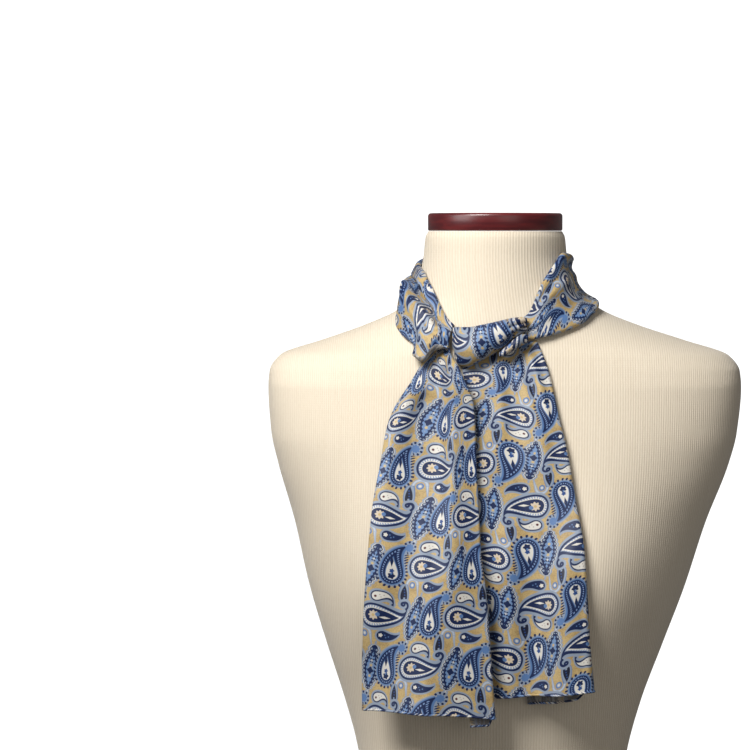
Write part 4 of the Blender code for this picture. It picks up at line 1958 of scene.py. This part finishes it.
@dataclass(frozen=True)
class Jersey:
    """Cream rib-knit jersey, matt, with fine upright ribs."""

    rib: float = 2.42
    stitch: float = 1.9
    light: Colour = paint(243, 233, 215)
    dark: Colour = paint(200, 182, 155)
    relief: float = 0.00016
    wander: tuple[float, float, float] = (0.02, 0.006, 0.0)
    fluff: tuple[float, float, float] = (0.8, 0.25, 0.0)
    streak: tuple[float, float, float] = (0.6, 0.02, 0.0)

    def dress(self, finish: Finish) -> bpy.types.Material:
        """Make the material.

        Args:
            finish: Its name among the finishes.

        Returns:
            The material.
        """
        recipe = Recipe(finish.value)
        cloth = recipe.cloth()
        x, y, _ = recipe.split(cloth)
        wander = recipe.noise(recipe.vector("MULTIPLY", cloth, self.wander), 1.0, 1.0)
        rib = recipe.math("SINE", (x + wander * 2.0) * (2 * pi / self.rib)) * 0.5 + 0.5
        loops = recipe.math("SINE", y * (2 * pi / self.stitch) + rib * 2.0)
        fluff = recipe.noise(recipe.vector("MULTIPLY", cloth, self.fluff), 1.0, 3.0)
        streak = recipe.noise(recipe.vector("MULTIPLY", cloth, self.streak), 1.0, 2.0)
        # The rib hollows are painted darker: painted shade in the grooves between the bumped ribs. Fluff and
        # streak add tone that differs at random.
        shade = (1.0 - rib) * 0.22 + fluff * 0.28 + streak * 0.25
        recipe.bump(rib + loops * 0.12 + fluff * 0.3, self.relief)
        recipe.set({"Base Color": recipe.mix(shade, self.light, self.dark), "Roughness": 0.9,
                    "Sheen Weight": 0.2, "Sheen Roughness": 0.5, "Specular IOR Level": 0.2})
        return recipe.material


@dataclass(frozen=True)
class Mahogany:
    """Dark red wood under a soft gloss."""

    dark: Colour = paint(82, 18, 24)
    light: Colour = paint(108, 30, 32)
    relief: float = 0.00003
    grain: tuple[float, float, float] = (9.0, 60.0, 260.0)
    pores: tuple[float, float, float] = (60.0, 900.0, 900.0)
    gloss: float = 0.5
    gloss_roughness: float = 0.34

    def dress(self, finish: Finish) -> bpy.types.Material:
        """Make the material.

        Args:
            finish: Its name among the finishes.

        Returns:
            The material.
        """
        recipe = Recipe(finish.value)
        place = recipe.node("TexCoord").outputs["Object"]
        grain = recipe.noise(recipe.vector("MULTIPLY", place, self.grain), 1.0, 6.0)
        pores = recipe.noise(recipe.vector("MULTIPLY", place, self.pores), 1.0, 2.0)
        shade = recipe.step(grain + pores * 0.15, 0.42, 0.75)
        recipe.bump(grain + pores * 0.5, self.relief)
        recipe.set({"Base Color": recipe.mix(shade, self.dark, self.light), "Roughness": grain * 0.12 + 0.26,
                    "Coat Weight": self.gloss, "Coat Roughness": self.gloss_roughness})
        return recipe.material


class Lamp(NamedTuple):
    """A soft square light, its size in metres and its power in watts."""

    name: str
    place: tuple[float, float, float]
    target: tuple[float, float, float]
    size: float
    power: float
    colour: Colour
    shine_only: bool


@dataclass
class Studio:
    """The plain studio: a white floor that curves up behind, soft lights and the camera."""

    floor_front: float = 3.0
    floor_back: float = 2.2
    floor_side: float = 3.2
    curve: float = 0.8
    curve_steps: int = 24
    wall: float = 2.6
    surround: float = 0.12
    sensor: float = 36.0
    focal: float = 124.2
    farthest: float = 20.0
    eye: tuple[float, float, float] = (-0.0076, -2.1925, 0.69555)
    aim: tuple[float, float, float] = (-0.102, 2.2, -0.12325)
    lamps: tuple[Lamp, ...] = (
        Lamp("key", (-0.72, -1.10, 1.67), (0.0, 0.0, 0.6), 0.75, 38.0, (1.0, 0.985, 0.96), False),
        Lamp("glint", (-1.7, -1.1, 1.0), (0.0, 0.0, 0.5), 1.3, 20.0, WHITE, True),
        Lamp("fill", (0.9, -2.2, 0.9), (0.0, 0.0, 0.45), 1.4, 5.5, (1.0, 0.95, 0.88), False),
    )

    def floor(self) -> bpy.types.Object:
        """Make the white sweep.

        Returns:
            The floor.
        """
        build = bmesh.new()
        path = [(-self.floor_front, 0.0), (self.floor_back - self.curve, 0.0)]
        for step in range(1, self.curve_steps + 1):
            angle = pi / 2 * step / self.curve_steps
            path.append((self.floor_back - self.curve * (1 - sin(angle)), self.curve * (1 - cos(angle))))
        path.append((self.floor_back, self.wall))
        left = [build.verts.new((-self.floor_side, y, z)) for y, z in path]
        edges = [build.edges.new(pair) for pair in zip(left, left[1:])]
        swept = bmesh.ops.extrude_edge_only(build, edges=edges)["geom"]
        moved = [item for item in swept if isinstance(item, bmesh.types.BMVert)]
        bmesh.ops.translate(build, verts=moved, vec=(2 * self.floor_side, 0, 0))
        bmesh.ops.recalc_face_normals(build, faces=build.faces)
        floor = place_mesh("studio_floor", build)
        recipe = Recipe("studio_white")
        recipe.set({"Base Color": (0.8, 0.8, 0.8, 1.0), "Roughness": 0.9, "Emission Color": (*WHITE, 1.0),
                    "Emission Strength": 0.95})
        floor.data.materials.append(recipe.material)
        floor.visible_diffuse = False
        floor.visible_glossy = False
        return floor

    def hang(self, lamp: Lamp) -> None:
        """Hang a light that looks at its target.

        Args:
            lamp: The light.
        """
        light = bpy.data.lights.new(lamp.name, "AREA")
        light.size = lamp.size
        light.energy = lamp.power
        light.color = lamp.colour
        holder = place_data(lamp.name, light)
        holder.location = lamp.place
        holder.rotation_euler = facing(Vector(lamp.target) - Vector(lamp.place))
        holder.visible_diffuse = not lamp.shine_only

    def lights(self) -> None:
        """Light the form from the upper left, with a weak fill and an even surround."""
        for lamp in self.lamps:
            self.hang(lamp)
        world = bpy.data.worlds.new("surround")
        world.use_nodes = True
        background = world.node_tree.nodes["Background"]
        background.inputs["Color"].default_value = (*WHITE, 1.0)
        background.inputs["Strength"].default_value = self.surround
        bpy.context.scene.world = world

    def camera(self) -> None:
        """Place the camera where the picture was taken from."""
        lens = bpy.data.cameras.new("camera")
        lens.sensor_width = self.sensor
        lens.lens = self.focal
        lens.clip_end = self.farthest
        holder = place_data("camera", lens)
        holder.location = self.eye
        holder.rotation_euler = facing(Vector(self.aim))
        bpy.context.scene.camera = holder


def facing(direction: Vector) -> Any:
    """Give the turn of a light or a camera that looks in a direction."""
    return direction.to_track_quat("-Z", "Y").to_euler()


@dataclass
class Scarf:
    """The whole scarf: its collar, its two tails and its knot."""

    shop: Workshop

    def make(self) -> None:
        """Make every stretch in order, and report each."""
        shop = self.shop
        stretches = (
            Collar(shop, "collar_fold_left", "collar_left", COLLAR_LEFT, LEFT_CREASES,
                   LEFT_COLLAR_SHIFTS, 150, LEFT_LEAN),
            Collar(shop, "collar_fold_back", "collar_back", COLLAR_BACK, BACK_CREASES,
                   BACK_COLLAR_SHIFTS, 90, 0.0),
            Collar(shop, "collar_fold_right", "collar_right", COLLAR_RIGHT, RIGHT_CREASES,
                   RIGHT_COLLAR_SHIFTS, 150, RIGHT_LEAN),
            Tail(shop, "tail_hang_left", "tail_left", TAIL_LEFT, TAIL_LEFT_CREASES, TAIL_LEFT_FLANKS,
                 LEFT_TAIL_SHIFTS, 1.0, False),
            Tail(shop, "tail_hang_right", "tail_right", TAIL_RIGHT, TAIL_RIGHT_CREASES, TAIL_RIGHT_FLANKS,
                 RIGHT_TAIL_SHIFTS, 0.45, True),
        )
        for stretch in stretches:
            logging.info("made %s", stretch.make().name)
        Knot(shop, KNOT_SHIFTS, BAND_CREASES).make()


def main() -> None:
    """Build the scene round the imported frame."""
    logging.basicConfig(level=logging.INFO, format="%(message)s")
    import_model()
    studio = Studio()
    studio.camera()
    studio.lights()
    studio.floor()
    bpy.context.scene.view_settings.view_transform = "Standard"
    silk = Silk()
    makers = {Finish.SILK: silk, Finish.REVERSE: silk, Finish.JERSEY: Jersey(), Finish.MAHOGANY: Mahogany()}
    shop = Workshop({finish: maker.dress(finish) for finish, maker in makers.items()})
    logging.info("made %s", DressForm(shop).make().name)
    logging.info("made %s", NeckCap(shop).make().name)
    Scarf(shop).make()


if __name__ == "__main__":
    main()
